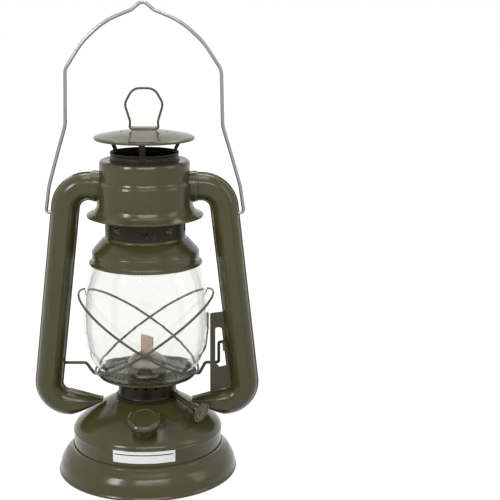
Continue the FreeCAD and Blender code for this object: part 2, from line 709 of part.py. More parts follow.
def tank_dome(grow):
    """The outside of the tank and foot as one solid, a little larger."""
    solid = Part.makeCylinder(value("tank_radius") + grow, value("wall_top") + 0.2)
    outline_points = [
        Vector(0, 0, value("wall_top")),
        Vector(value("tank_radius") + grow, 0, value("wall_top")),
        Vector(value("tank_radius") - 1.1 + grow, 0, value("wall_top") + 3 + grow),
    ]
    arch = arc_between(
        Vector(value("tank_radius") - 2.2, value("wall_top") + 4.1, 0),
        Vector(value("collar_radius"), value("dome_top"), 0), value("dome_bulge"))
    for step in range(9):
        spot = arch.value(arch.FirstParameter + (arch.LastParameter - arch.FirstParameter) * step / 8)
        outline_points.append(Vector(spot.x + grow, 0, spot.y + grow))
    outline_points.append(Vector(0, 0, value("dome_top") + grow))
    face = Part.Face(Part.makePolygon(outline_points + [outline_points[0]]))
    return solid.fuse(face.revolve(ORIGIN, Z_AXIS, 360))


dome = tank_dome(0.12)
sheet_wall = value("sheet_wall")
path = tube_path(tube_start)
outside = swept(path, tube_radius).fuse(foot_loft(0))
inside = swept(path, tube_radius - sheet_wall).fuse(foot_loft(sheet_wall))
tube = outside.cut(inside).cut(dome)
solids = sorted(tube.Solids, key=lambda solid: solid.Volume)
tube = solids[-1]
crank_wire = value("crank_wire") / 2
crank_y = value("crank_pivot_y")
crank_z = value("crank_pivot_z")
crank_hole = Part.makeCylinder(crank_wire + value("pin_play"), 40, Vector(40, crank_y, crank_z), X_AXIS)
bail_pivot = value("bail_pivot")
bail_wire = value("bail_wire") / 2
bail_hole = Part.makeCylinder(bail_wire + value("pin_play"), 30, Vector(60, 0, bail_pivot), X_AXIS)
for name, shape in (("right", tube.cut(bail_hole)), ("left", mirrored(tube.cut(crank_hole).cut(bail_hole)))):
    for half, low_y in (("front", -40), ("back", 0)):
        side = shape.common(Part.makeBox(240, 40, 320, Vector(-120, low_y, 0)))
        side = max(side.Solids, key=lambda solid: solid.Volume)
        piece("air_tube_%s_%s" % (name, half), side)
collar = Part.makeCylinder(tube_radius + 1.1, 3.4, Vector(tube_start + 0.1, 0, tube_height), X_AXIS)
collar = collar.cut(Part.makeCylinder(tube_radius + value("seat_gap"), 8,
                                      Vector(tube_start - 2, 0, tube_height), X_AXIS))
piece("tube_collar_right", collar)
piece("tube_collar_left", mirrored(collar))

# ---- globe lift: a slotted bracket on the right tube and one long bent wire ----
bracket_left = value("bracket_left")
half_sheet = value("bracket_sheet") / 2
leg_at = [upper_end + lower_tangent * ((upper_end.z - z) / cos(lean)) for z in (131, 84)]
inner_x = [spot.x - tube_radius / cos(lean) - 0.1 for spot in leg_at]
plate = Part.Face(Part.makePolygon([
    Vector(bracket_left, 0, 129.5),
    Vector(inner_x[0], 0, 131),
    Vector(inner_x[1], 0, 84),
    Vector(foot_x + 4, 0, 70),
    Vector(foot_x - 2, 0, foot_z + tube_radius + 0.4),
    Vector(bracket_left + 1.6, 0, foot_z + tube_radius - 1.6),
    Vector(bracket_left, 0, foot_z + tube_radius + 1.0),
    Vector(bracket_left, 0, 129.5),
])).extrude(Y_AXIS * value("bracket_sheet"))
plate.translate(Y_AXIS * -half_sheet)
slot = Part.Face(Part.makePolygon([
    Vector(bracket_left + 4.2, 0, 117.5),
    Vector(bracket_left + 9.2, 0, 117.5),
    Vector(bracket_left + 13, 0, 84.5),
    Vector(bracket_left + 7.4, 0, 84.5),
    Vector(bracket_left + 4.2, 0, 88),
    Vector(bracket_left + 4.2, 0, 117.5),
])).extrude(Y_AXIS * 6)
slot.translate(Y_AXIS * -3)
flange = Part.makeBox(value("bracket_sheet"), 12.5, 26, Vector(bracket_left, -half_sheet, 74))
flange = flange.cut(Part.makeCylinder(crank_wire + value("pin_play"), 8,
                                      Vector(bracket_left - 3, crank_y, crank_z), X_AXIS))
grown_tube = swept(tube_path(value("tube_turn") - 1), tube_radius + value("seat_gap"))
bracket = plate.fuse(flange).cut(slot).cut(grown_tube).cut(foot_loft(-value("seat_gap")))
bracket = max(bracket.Solids, key=lambda solid: solid.Volume)
piece("lift_bracket", bracket.removeSplitter())

bow_z = crank_z - value("crank_drop")
bow_y = value("bow_depth")
side_x = value("gallery_radius") + 3.6
lever_x = bracket_left + 7
crank_points = [
    Vector(-(side_x + 24), crank_y, crank_z),
    Vector(-(side_x + 6.4), crank_y, crank_z),
    Vector(-side_x, crank_y, bow_z),
    Vector(-32, crank_y + 0.6, bow_z),
    Vector(-19, bow_y, bow_z),
    Vector(19, bow_y, bow_z),
    Vector(32, crank_y + 0.6, bow_z),
    Vector(side_x - 1.5, crank_y, bow_z),
    Vector(side_x + 3.4, crank_y, crank_z),
    Vector(lever_x, crank_y, crank_z),
    Vector(lever_x, crank_y - 10.5, crank_z + 20),
    Vector(lever_x + 4, crank_y - 13.6, crank_z + 22.5),
    Vector(lever_x + 4.6, crank_y - 15.6, crank_z + 14.5),
]
crank_radii = [3.2, 3.2, 6, 7, 7, 6, 2.4, 2.4, 2.4, 2.2, 2.2]
piece("lift_crank", swept(bent_path(crank_points, crank_radii), crank_wire))

# ---- carrying bail, hooked into the tubes ----
bail_top = value("bail_top")
bail_out = 77.2
bail_side = [
    Vector(bail_out - 7.2, 0, bail_pivot),
    Vector(bail_out, 0, bail_pivot),
    Vector(bail_out - 3.0, 0, 232),
    Vector(66.5, 0, 259),
    Vector(60.4, 0, 279),
    Vector(59.4, 0, 322),
    Vector(45.6, 0, 343),
    Vector(28.5, 0, 358.5),
    Vector(8.4, 0, 366.6),
]
bail_peak = [Vector(0, 0, bail_top + 1.6)]
bail_points = bail_side + bail_peak + [Vector(-spot.x, 0, spot.z) for spot in reversed(bail_side)]
bail_bends = [2.4, 40, 28, 30, 12, 60, 60, 7]
bail_radii = bail_bends + [4.5] + bail_bends[::-1]
piece("bail", swept(bent_path(bail_points, bail_radii), bail_wire))

# ---- spring that presses the hood on the globe ----
spring_wire = 0.6
spring_radius = value("chimney_radius") + 2.2
spring_low = value("neck_top") + spring_wire + 0.1
spring_top = value("canopy_top") - 0.5 - spring_wire - 0.1
turns = 5
bends_per_turn = 8
half_bend = radians(180 / bends_per_turn)
bends = turns * bends_per_turn
rise = (spring_top - spring_low) / bends
coil = []
for bend in range(bends + 1):
    around = 2 * half_bend * bend
    reach = spring_radius / cos(half_bend)
    coil.append(Vector(reach * cos(around), reach * sin(around), spring_low + rise * bend))
piece("hood_spring", swept(bent_path(coil, [0.95 * spring_radius] * (bends - 1)), spring_wire))

# ---- checks, then one file for each piece ----
doc.recompute()
for thing in doc.Objects:
    if {"Invalid", "Error"} & set(thing.State):
        raise RuntimeError("%s did not build: %s" % (thing.Label, thing.State))
for thing in NODES:
    if thing.Shape.isNull() or not thing.Shape.isValid() or thing.Shape.Volume <= 0:
        raise RuntimeError("%s has no sound shape" % thing.Label)
os.makedirs("parts", exist_ok=True)
for thing in NODES:
    thing.Shape.exportStep("parts/%s.step" % thing.Label)
    box = thing.Shape.BoundBox
    print("%-22s %2d solids %9.1f mm3  z %.1f to %.1f" % (
        thing.Label, len(thing.Shape.Solids), thing.Shape.Volume, box.ZMin, box.ZMax))
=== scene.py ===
from math import atan2, cos, pi, radians, sin, sqrt, tan

import bmesh
import bpy
from mathutils import Matrix, Vector


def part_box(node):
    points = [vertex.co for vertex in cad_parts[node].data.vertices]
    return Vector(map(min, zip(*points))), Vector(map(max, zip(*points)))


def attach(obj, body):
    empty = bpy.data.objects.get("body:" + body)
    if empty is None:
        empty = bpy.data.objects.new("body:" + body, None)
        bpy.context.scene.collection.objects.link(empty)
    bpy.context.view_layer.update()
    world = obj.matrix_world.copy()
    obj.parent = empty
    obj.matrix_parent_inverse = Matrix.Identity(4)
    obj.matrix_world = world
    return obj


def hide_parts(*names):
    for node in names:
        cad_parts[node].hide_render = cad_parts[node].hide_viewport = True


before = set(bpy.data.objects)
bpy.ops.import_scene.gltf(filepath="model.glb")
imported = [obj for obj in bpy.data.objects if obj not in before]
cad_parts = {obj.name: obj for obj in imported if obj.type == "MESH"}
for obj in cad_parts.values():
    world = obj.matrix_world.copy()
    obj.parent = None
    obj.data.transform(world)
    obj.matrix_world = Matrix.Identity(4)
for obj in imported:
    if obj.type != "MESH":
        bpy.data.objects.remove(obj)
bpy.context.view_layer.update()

MM = 0.001
SHEET = 0.5 * MM
QUARTER = pi / 2
CREASE = 34


# ---------------------------------------------------------------- mesh helpers
def finished(bm, name, body, material, stands_for=(), crease=CREASE, spare=()):
    """Turns a bmesh into a piece that rides a body and stands for its CAD nodes."""
    mesh = bpy.data.meshes.new(name)
    bm.to_mesh(mesh)
    bm.free()
    return placed(mesh, name, body, material, stands_for, crease, spare)


def placed(mesh, name, body, material, stands_for=(), crease=CREASE, spare=()):
    piece = bpy.data.objects.new(name, mesh)
    bpy.context.scene.collection.objects.link(piece)
    for look in (material,) + tuple(spare):
        mesh.materials.append(look)
    mesh.shade_smooth()
    mesh.set_sharp_from_angle(angle=radians(crease))
    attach(piece, body)
    if stands_for:
        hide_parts(*stands_for)
    return piece


def rounded(corners, steps=6):
    """A line through (across, up[, radius]) corners, with an arc at each corner that has a radius."""
    line = []
    for index, corner in enumerate(corners):
        here = Vector(corner[:2])
        if len(corner) == 2 or index in (0, len(corners) - 1):
            line.append(here)
            continue
        back = (Vector(corners[index - 1][:2]) - here).normalized()
        ahead = (Vector(corners[index + 1][:2]) - here).normalized()
        half = back.angle(ahead) / 2
        radius = corner[2]
        reach = radius / tan(half)
        centre = here + (back + ahead).normalized() * (radius / sin(half))
        start = here + back * reach - centre
        sweep = pi - 2 * half
        turn = sweep if start.cross(ahead) > 0 else -sweep
        for step in range(steps + 1):
            line.append(centre + Matrix.Rotation(turn * step / steps, 2) @ start)
    return line


def spun(bm, line, turns):
    """Spins a line of (radius, height) millimetres about Z."""
    spots = [bm.verts.new((spot[0] * MM, 0, spot[1] * MM)) for spot in line]
    edges = [bm.edges.new(pair) for pair in zip(spots, spots[1:])]
    bmesh.ops.spin(bm, geom=spots + edges, cent=(0, 0, 0), axis=(0, 0, 1), dvec=(0, 0, 0),
                   angle=2 * pi, steps=turns, use_merge=True, use_duplicate=False)


def lump(line, turns=96):
    """A spun solid piece, from a closed line or one that starts and ends on the axis."""
    bm = bmesh.new()
    spun(bm, line, turns)
    bmesh.ops.remove_doubles(bm, verts=bm.verts, dist=1e-6)
    bmesh.ops.recalc_face_normals(bm, faces=bm.faces)
    return bm


def shell(line, turns=128, wall=SHEET):
    """A spun sheet piece of even thickness, its outside on the line."""
    bm = lump(line, turns)
    bmesh.ops.solidify(bm, geom=bm.faces[:], thickness=wall)
    return bm


def route(points, radii, steps=8):
    """Straight runs in space with an arc at each inner corner, in millimetres."""
    line = [Vector(points[0])]
    for index in range(1, len(points) - 1):
        here = Vector(points[index])
        back = (Vector(points[index - 1]) - here).normalized()
        ahead = (Vector(points[index + 1]) - here).normalized()
        half = back.angle(ahead) / 2
        radius = radii[index - 1]
        reach = radius / tan(half)
        centre = here + (back + ahead).normalized() * (radius / sin(half))
        start = here + back * reach - centre
        across = start.cross(here + ahead * reach - centre).normalized()
        for step in range(steps + 1):
            turning = Matrix.Rotation((pi - 2 * half) * step / steps, 3, across)
            line.append(centre + turning @ start)
    line.append(Vector(points[-1]))
    return line


def wire_mesh(line, radius, closed=False, sides=5):
    """A round wire along a line in millimetres."""
    curve = bpy.data.curves.new("wire", "CURVE")
    curve.dimensions = "3D"
    curve.bevel_depth = radius * MM
    curve.bevel_resolution = sides
    curve.use_fill_caps = not closed
    run = curve.splines.new("POLY")
    run.points.add(len(line) - 1)
    for point, spot in zip(run.points, line):
        point.co = (*(Vector(spot) * MM), 1)
    run.use_cyclic_u = closed
    carrier = bpy.data.objects.new("wire", curve)
    mesh = bpy.data.meshes.new_from_object(carrier)
    bpy.data.objects.remove(carrier)
    return mesh


def turned_into(bm, place):
    bmesh.ops.transform(bm, matrix=place, verts=bm.verts)
    return bm


def merged(*parts):
    """Several bmeshes as one."""
    whole = bmesh.new()
    for part in parts:
        carrier = bpy.data.meshes.new("part")
        part.to_mesh(carrier)
        part.free()
        whole.from_mesh(carrier)
        bpy.data.meshes.remove(carrier)
    return whole


def box_bm(low, high, edge=0.0):
    """A box between two corners in millimetres, its edges rounded."""
    bm = bmesh.new()
    bmesh.ops.create_cube(bm, size=1)
    low, high = Vector(low) * MM, Vector(high) * MM
    size = high - low
    bmesh.ops.scale(bm, vec=size, verts=bm.verts)
    bmesh.ops.translate(bm, vec=(low + high) / 2, verts=bm.verts)
    if edge:
        bmesh.ops.bevel(bm, geom=bm.edges[:], offset=edge * MM, segments=3, profile=0.5,
                        affect="EDGES", material=-1)
    return bm


def peg(radius, length, segments, place=Matrix()):
    """A round peg along its own Z, in millimetres, put in its place."""
    bm = bmesh.new()
    bmesh.ops.create_cone(bm, cap_ends=True, segments=segments, radius1=radius * MM, radius2=radius * MM,
                          depth=length * MM)
    return turned_into(bm, place)


def at(*spot):
    return Matrix.Translation(Vector(spot) * MM)


def sideways(*spot):
    """A place in millimetres where a peg lies along X."""
    return at(*spot) @ Matrix.Rotation(QUARTER, 4, "Y")


def about_z(angle):
    return Matrix.Rotation(angle, 4, "Z")


def fresh_of(made, kind):
    return [item for item in made["geom"] if isinstance(item, kind)]


def ribbon(points, across):
    """A strip of faces along points in metres, reaching across to each side."""
    bm = bmesh.new()
    edge = bm.edges.new([bm.verts.new(points[0] + side * across) for side in (-1, 1)])
    for before, spot in zip(points, points[1:]):
        made = bmesh.ops.extrude_edge_only(bm, edges=[edge])
        fresh = fresh_of(made, bmesh.types.BMVert)
        bmesh.ops.translate(bm, vec=spot - before, verts=fresh)
        edge = [item for item in fresh_of(made, bmesh.types.BMEdge)
                if all(vert in fresh for vert in item.verts)][0]
    bmesh.ops.recalc_face_normals(bm, faces=bm.faces)
    return bm


def slab(outline, near, thick):
    """A plate with an (across, up) outline, from y = near, in millimetres."""
    bm = bmesh.new()
    bm.faces.new([bm.verts.new(Vector((spot.x, near, spot.y)) * MM) for spot in outline])
    made = bmesh.ops.extrude_face_region(bm, geom=bm.faces[:])
    bmesh.ops.translate(bm, vec=(0, thick * MM, 0), verts=fresh_of(made, bmesh.types.BMVert))
    bmesh.ops.recalc_face_normals(bm, faces=bm.faces)
    return bm


def cut_by(piece, cutter):
    """Cuts one mesh object with a bmesh, and keeps the result in the mesh."""
    mesh = bpy.data.meshes.new("cutter")
    cutter.to_mesh(mesh)
    cutter.free()
    tool = bpy.data.objects.new("cutter", mesh)
    bpy.context.scene.collection.objects.link(tool)
    trim = piece.modifiers.new("trim", "BOOLEAN")
    trim.operation = "DIFFERENCE"
    trim.solver = "EXACT"
    trim.object = tool
    bpy.context.view_layer.update()
    seen = piece.evaluated_get(bpy.context.evaluated_depsgraph_get())
    result = bpy.data.meshes.new_from_object(seen)
    piece.modifiers.remove(trim)
    old = piece.data
    piece.data = result
    bpy.data.meshes.remove(old)
    bpy.data.objects.remove(tool)
    bpy.data.meshes.remove(mesh)
    piece.data.set_sharp_from_angle(angle=radians(CREASE))
    return piece


# ---------------------------------------------------------------- shader groups
def new_group(name, inputs, outputs):
    group = bpy.data.node_groups.new(name, "ShaderNodeTree")
    for label, kind, start in inputs:
        socket = group.interface.new_socket(label, in_out="INPUT", socket_type=kind)
        if start is not None:
            socket.default_value = start
    for label, kind in outputs:
        group.interface.new_socket(label, in_out="OUTPUT", socket_type=kind)
    return group, group.nodes.new("NodeGroupInput"), group.nodes.new("NodeGroupOutput")


def noise(tree, vector, scale, detail=4.0, rough=0.55):
    node = tree.nodes.new("ShaderNodeTexNoise")
    node.inputs["Scale"].default_value = scale
    node.inputs["Detail"].default_value = detail
    node.inputs["Roughness"].default_value = rough
    tree.links.new(vector, node.inputs["Vector"])
    return node.outputs["Fac"]


def ranged(tree, source, low, high, to_low=0.0, to_high=1.0):
    node = tree.nodes.new("ShaderNodeMapRange")
    for socket, number in (("From Min", low), ("From Max", high), ("To Min", to_low), ("To Max", to_high)):
        node.inputs[socket].default_value = number
    tree.links.new(source, node.inputs["Value"])
    return node.outputs["Result"]


def sums(tree, operation, first, second):
    node = tree.nodes.new("ShaderNodeMath")
    node.operation = operation
    for index, item in enumerate((first, second)):
        if isinstance(item, (int, float)):
            node.inputs[index].default_value = item
        else:
            tree.links.new(item, node.inputs[index])
    return node.outputs[0]


def colour_mix(tree, factor, first, second):
    node = tree.nodes.new("ShaderNodeMix")
    node.data_type = "RGBA"
    if isinstance(factor, (int, float)):
        node.inputs[0].default_value = factor
    else:
        tree.links.new(factor, node.inputs[0])
    for index, item in ((6, first), (7, second)):
        if isinstance(item, (tuple, list)):
            node.inputs[index].default_value = item
        else:
            tree.links.new(item, node.inputs[index])
    return node.outputs[2]


def bump(tree, height, strength, distance):
    node = tree.nodes.new("ShaderNodeBump")
    node.inputs["Strength"].default_value = strength
    node.inputs["Distance"].default_value = distance
    tree.links.new(height, node.inputs["Height"])
    return node.outputs["Normal"]


def build_enamel_group():
    """Sprayed paint on sheet: orange peel, soft blotches and a little handling wear."""
    group, inside, outside = new_group(
        "enamel_surface",
        [("Vector", "NodeSocketVector", None), ("Colour", "NodeSocketColor", (0.08, 0.07, 0.03, 1)),
         ("Rubbed Colour", "NodeSocketColor", (0.2, 0.19, 0.13, 1)), ("Wear", "NodeSocketFloat", 0.3),
         ("Gloss", "NodeSocketFloat", 0.2)],
        [("Colour", "NodeSocketColor"), ("Roughness", "NodeSocketFloat"), ("Height", "NodeSocketFloat")])
    vector = inside.outputs["Vector"]
    blotch = ranged(group, noise(group, vector, 38, 3), 0.3, 0.7)
    shade = group.nodes.new("ShaderNodeHueSaturation")
    value = ranged(group, blotch, 0, 1, 0.93, 1.07)
    group.links.new(value, shade.inputs["Value"])
    group.links.new(inside.outputs["Colour"], shade.inputs["Color"])
    scuff_grain = noise(group, vector, 420, 6, 0.7)
    scuff_place = ranged(group, noise(group, vector, 26, 4, 0.6), 0.60, 0.72)
    scuff = sums(group, "MULTIPLY", scuff_place, ranged(group, scuff_grain, 0.52, 0.62))
    scuff = sums(group, "MULTIPLY", scuff, inside.outputs["Wear"])
    group.links.new(colour_mix(group, scuff, shade.outputs[0], inside.outputs["Rubbed Colour"]),
                    outside.inputs["Colour"])
    smear = ranged(group, noise(group, vector, 90, 5, 0.6), 0.35, 0.75, 0.0, 0.10)
    rough = sums(group, "ADD", inside.outputs["Gloss"], smear)
    group.links.new(sums(group, "ADD", rough, sums(group, "MULTIPLY", scuff, 0.25)),
                    outside.inputs["Roughness"])
    peel = noise(group, vector, 900, 2, 0.4)
    wave = noise(group, vector, 70, 2, 0.4)
    height = sums(group, "ADD", sums(group, "MULTIPLY", peel, 0.35), wave)
    group.links.new(sums(group, "SUBTRACT", height, sums(group, "MULTIPLY", scuff, 0.3)),
                    outside.inputs["Height"])
    return group


def build_metal_group():
    """Bare metal: spangle or drawing marks, tarnish and fine scratches."""
    group, inside, outside = new_group(
        "bare_metal_surface",
        [("Vector", "NodeSocketVector", None), ("Bright", "NodeSocketColor", (0.6, 0.6, 0.6, 1)),
         ("Dull", "NodeSocketColor", (0.3, 0.3, 0.28, 1)), ("Scale", "NodeSocketFloat", 200.0),
         ("Tarnish", "NodeSocketFloat", 0.5)],
        [("Colour", "NodeSocketColor"), ("Roughness", "NodeSocketFloat"), ("Height", "NodeSocketFloat")])
    vector = inside.outputs["Vector"]
    spangle = group.nodes.new("ShaderNodeTexVoronoi")
    group.links.new(vector, spangle.inputs["Vector"])
    group.links.new(inside.outputs["Scale"], spangle.inputs["Scale"])
    grey = sums(group, "MULTIPLY", spangle.outputs["Distance"], 0.35)
    stain = ranged(group, noise(group, vector, 60, 5, 0.6), 0.42, 0.68)
    stain = sums(group, "MULTIPLY", stain, inside.outputs["Tarnish"])
    mask = sums(group, "ADD", grey, stain)
    group.links.new(colour_mix(group, mask, inside.outputs["Bright"], inside.outputs["Dull"]),
                    outside.inputs["Colour"])
    group.links.new(ranged(group, mask, 0, 1, 0.22, 0.52), outside.inputs["Roughness"])
    scratch = noise(group, vector, 1400, 2, 0.5)
    group.links.new(sums(group, "ADD", scratch, mask), outside.inputs["Height"])
    return group


ENAMEL = build_enamel_group()
BARE_METAL = build_metal_group()


def material(name):
    made = bpy.data.materials.new(name)
    made.use_nodes = True
    tree = made.node_tree
    shader = tree.nodes["Principled BSDF"]
    place = tree.nodes.new("ShaderNodeTexCoord").outputs["Object"]
    return made, tree, shader, place


def skinned(name, group, relief, **values):
    """A material whose colour, roughness and height come from a surface group."""
    made, tree, shader, place = material(name)
    skin = tree.nodes.new("ShaderNodeGroup")
    skin.node_tree = group
    for label, value in values.items():
        skin.inputs[label.replace("_", " ")].default_value = value
    tree.links.new(place, skin.inputs["Vector"])
    tree.links.new(skin.outputs["Colour"], shader.inputs["Base Color"])
    tree.links.new(skin.outputs["Roughness"], shader.inputs["Roughness"])
    tree.links.new(bump(tree, skin.outputs["Height"], *relief), shader.inputs["Normal"])
    return made, shader


def enamel(name, colour, gloss=0.17, wear=0.25, coat=0.12):
    made, shader = skinned(name, ENAMEL, (0.10, 0.0004), Colour=colour, Rubbed_Colour=(0.17, 0.16, 0.10, 1),
                           Wear=wear, Gloss=gloss)
    shader.inputs["Coat Weight"].default_value = coat
    shader.inputs["Specular IOR Level"].default_value = 0.3 if coat else 0.15
    shader.inputs["Coat Roughness"].default_value = 0.06
    shader.inputs["IOR"].default_value = 1.5
    return made


def bare(name, bright, dull, scale, tarnish):
    made, shader = skinned(name, BARE_METAL, (0.12, 0.0002), Bright=bright, Dull=dull, Scale=scale,
                           Tarnish=tarnish)
    shader.inputs["Metallic"].default_value = 1.0
    return made


def glass_material():
    """Clear blown glass: a faint grey-green with a little haze, its base colour darker where it is seen edge on
    as painted shade for the dark refractions at its rims.
    """
    made, tree, shader, place = material("clear_lamp_glass")
    shader.inputs["Transmission Weight"].default_value = 1.0
    shader.inputs["IOR"].default_value = 1.45
    facing = tree.nodes.new("ShaderNodeLayerWeight")
    facing.inputs["Blend"].default_value = 0.25
    # Painted shade: the base colour darkens toward grazing edges, standing in for dark reflections and
    # refractions.
    edge = ranged(tree, facing.outputs["Facing"], 0.25, 0.95)
    tree.links.new(colour_mix(tree, edge, (0.90, 0.905, 0.885, 1), (0.68, 0.69, 0.66, 1)),
                   shader.inputs["Base Color"])
    film = ranged(tree, noise(tree, place, 35, 4, 0.6), 0.5, 0.8, 0.0, 0.05)
    tree.links.new(film, shader.inputs["Roughness"])
    ripple = noise(tree, place, 45, 2, 0.4)
    tree.links.new(bump(tree, ripple, 0.10, 0.0006), shader.inputs["Normal"])
    return made


def cotton_material():
    """Woven tape: ribs along the wick and picks across it."""
    made, tree, shader, place = material("woven_wick_cotton")
    weave = []
    for direction, scale in (("X", 620), ("Z", 480)):
        wave = tree.nodes.new("ShaderNodeTexWave")
        wave.bands_direction = direction
        wave.inputs["Scale"].default_value = scale
        wave.inputs["Distortion"].default_value = 1.2
        tree.links.new(place, wave.inputs["Vector"])
        weave.append(wave.outputs["Fac"])
    cloth = sums(tree, "MULTIPLY", weave[0], weave[1])
    fuzz = noise(tree, place, 700, 5, 0.7)
    mask = ranged(tree, sums(tree, "ADD", cloth, fuzz), 0.4, 1.3)
    colour = colour_mix(tree, mask, (0.60, 0.38, 0.28, 1), (0.90, 0.72, 0.60, 1))
    tree.links.new(colour, shader.inputs["Base Color"])
    tree.links.new(ranged(tree, fuzz, 0, 1, 0.78, 0.98), shader.inputs["Roughness"])
    tree.links.new(bump(tree, sums(tree, "ADD", cloth, fuzz), 0.6, 0.0003), shader.inputs["Normal"])
    shader.inputs["Sheen Weight"].default_value = 0.3
    return made


def plain_material(name, colour, rough, scale=300, depth=0.08, spread=0.08):
    made, tree, shader, place = material(name)
    grain = noise(tree, place, scale, 5, 0.6)
    low = tuple(c * (1 - spread) for c in colour[:3]) + (1,)
    high = tuple(min(c * (1 + spread), 1) for c in colour[:3]) + (1,)
    tree.links.new(colour_mix(tree, grain, low, high), shader.inputs["Base Color"])
    tree.links.new(ranged(tree, grain, 0.2, 0.8, rough - 0.07, rough + 0.07), shader.inputs["Roughness"])
    tree.links.new(bump(tree, grain, depth, 0.0003), shader.inputs["Normal"])
    return made


OLIVE = enamel("olive_enamel", (0.055, 0.051, 0.0165, 1))
OLIVE_WIRE = enamel("olive_enamel_on_wire", (0.067, 0.061, 0.028, 1), gloss=0.22, wear=0.5)
# Darker olive enamel as painted shade for parts in shadow: burner ring and cup, the hood's neck, chimney pipe
# and lid braces.
OLIVE_PAINTED_SHADE = enamel("olive_enamel_painted_shade", (0.021, 0.0185, 0.0105, 1), gloss=0.30, wear=0.4, coat=0.0)
OLIVE_INSIDE = enamel("olive_enamel_inside", (0.045, 0.040, 0.020, 1), gloss=0.35, wear=0.6)
GALVANISED = bare("galvanised_wire", (0.31, 0.312, 0.30, 1), (0.20, 0.20, 0.19, 1), 500, 0.35)
BURNER = bare("dull_burner_plate", (0.40, 0.39, 0.34, 1), (0.16, 0.155, 0.13, 1), 320, 0.6)
STEEL = bare("spring_steel", (0.42, 0.42, 0.41, 1), (0.18, 0.17, 0.16, 1), 400, 0.5)
GLASS = glass_material()
COTTON = cotton_material()
CORK = plain_material("gasket_rubber", (0.03, 0.028, 0.026, 1), 0.7)
STRIP = plain_material("white_strip", (0.80, 0.80, 0.78, 1), 0.35, 500, 0.05, 0.03)
LINE_INK = plain_material("black_line_ink", (0.02, 0.02, 0.02, 1), 0.45)


# ---------------------------------------------------------------- foot and tank
TANK_R = (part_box("tank_shell")[1].x) / MM
RIM_R = (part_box("base_skirt")[1].x) / MM - 0.05
DOME_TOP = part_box("tank_shell")[1].z / MM
COLLAR_R = 24.4
DOME_EDGE_Z = 39.1
DOME_BULGE = 130.0


def dome_line():
    """The dome's arch from the shoulder to the burner collar."""
    start = Vector((TANK_R - 2.2, DOME_EDGE_Z))
    end = Vector((COLLAR_R, DOME_TOP))
    chord = end - start
    centre = (start + end) / 2 + Vector((-chord.y, chord.x)).normalized() * sqrt(
        DOME_BULGE * DOME_BULGE - chord.length_squared / 4)
    first = start - centre
    sweep = first.angle_signed(end - centre)
    return [centre + Matrix.Rotation(-sweep * step / 10, 2) @ first for step in range(11)]


def dome_height(radius):
    """The dome's height at a radius, and the shoulder's outside it."""
    line = dome_line()
    for low, high in zip(line, line[1:]):
        if high.x <= radius <= low.x:
            share = (low.x - radius) / (low.x - high.x)
            return low.y + (high.y - low.y) * share
    return line[-1].y if radius < line[-1].x else DOME_EDGE_Z * (radius <= TANK_R)


def make_tank():
    wall = rounded([
        (TANK_R - 0.3, 8.5), (TANK_R - 0.3, 33.0, 0.5), (TANK_R, 33.8, 0.6), (TANK_R, 35.6, 0.9),
        (TANK_R - 0.7, 36.4, 0.6), (TANK_R - 0.5, 37.2, 1.2)], 4)
    line = wall[:-1] + dome_line() + [Vector((18.0, DOME_TOP))]
    finished(shell(line, 160), "tank", "frame", OLIVE, ("tank_shell",), 50)
    floor = rounded([(0, 11.6), (53.2, 11.6, 1.5), (55.6, 8.6, 1.0), (59.0, 8.6)])
    finished(shell(floor, 96), "tank_floor", "frame", OLIVE_INSIDE, ("tank_bottom",))
    skirt = rounded([
        (TANK_R + 0.6, 22.9), (TANK_R + 0.6, 20.9, 1.6), (TANK_R + 3.1, 18.6, 5.0), (66.2, 15.8, 9.0),
        (69.9, 9.6, 16.0), (RIM_R - 0.9, 3.4, 3.0), (RIM_R - 0.5, 2.6, 0.5), (RIM_R, 1.9, 0.5),
        (RIM_R, 0.7, 0.6), (RIM_R - 0.7, 0.05, 0.5), (RIM_R - 1.8, 0.4, 0.5), (RIM_R - 1.8, 2.2)], 6)
    finished(shell(skirt, 160, 0.6 * MM), "foot_skirt", "frame", OLIVE, ("base_skirt",), 60)


def wall_patch(radius, half, low, high, look):
    """A patch wrapped on the tank's front wall, half an angle to each side."""
    bm = bmesh.new()
    foot, head = bm.verts.new((0, -radius, low)), bm.verts.new((0, -radius, high))
    edge = bm.edges.new((foot, head))
    bmesh.ops.rotate(bm, cent=(0, 0, 0), matrix=Matrix.Rotation(-half, 3, "Z"), verts=[foot, head])
    bmesh.ops.spin(bm, geom=[foot, head, edge], cent=(0, 0, 0), axis=(0, 0, 1), angle=2 * half, steps=36,
                   use_merge=False, use_duplicate=False)
    for face in bm.faces:
        face.material_index = look
        if face.normal.dot(face.calc_center_median()) < 0:
            face.normal_flip()
    return bm


def make_level_strip():
    low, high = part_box("level_strip")
    radius = (TANK_R + 0.15) * MM
    lift = 0.06 * MM
    half = radians(23.6)
    paper = wall_patch(radius, half, low.z, high.z, 0)
    bmesh.ops.solidify(paper, geom=paper.faces[:], thickness=0.12 * MM)
    line = wall_patch(radius + lift, half * 0.94, high.z - 3.2 * MM, high.z - 2.4 * MM, 1)
    finished(merged(paper, line), "level_strip_face", "frame", STRIP, ("level_strip",), 30,
             (LINE_INK,))


# ---------------------------------------------------------------- filler neck and cap
FILLER_TILT = radians(22)
FILLER_SEAT = Vector((0, -48, 49.2)) * MM
FILLER_PLACE = Matrix.Translation(FILLER_SEAT) @ Matrix.Rotation(FILLER_TILT, 4, "X")
CAP_RIDGES, CAP_NOTCHES = 40, 56


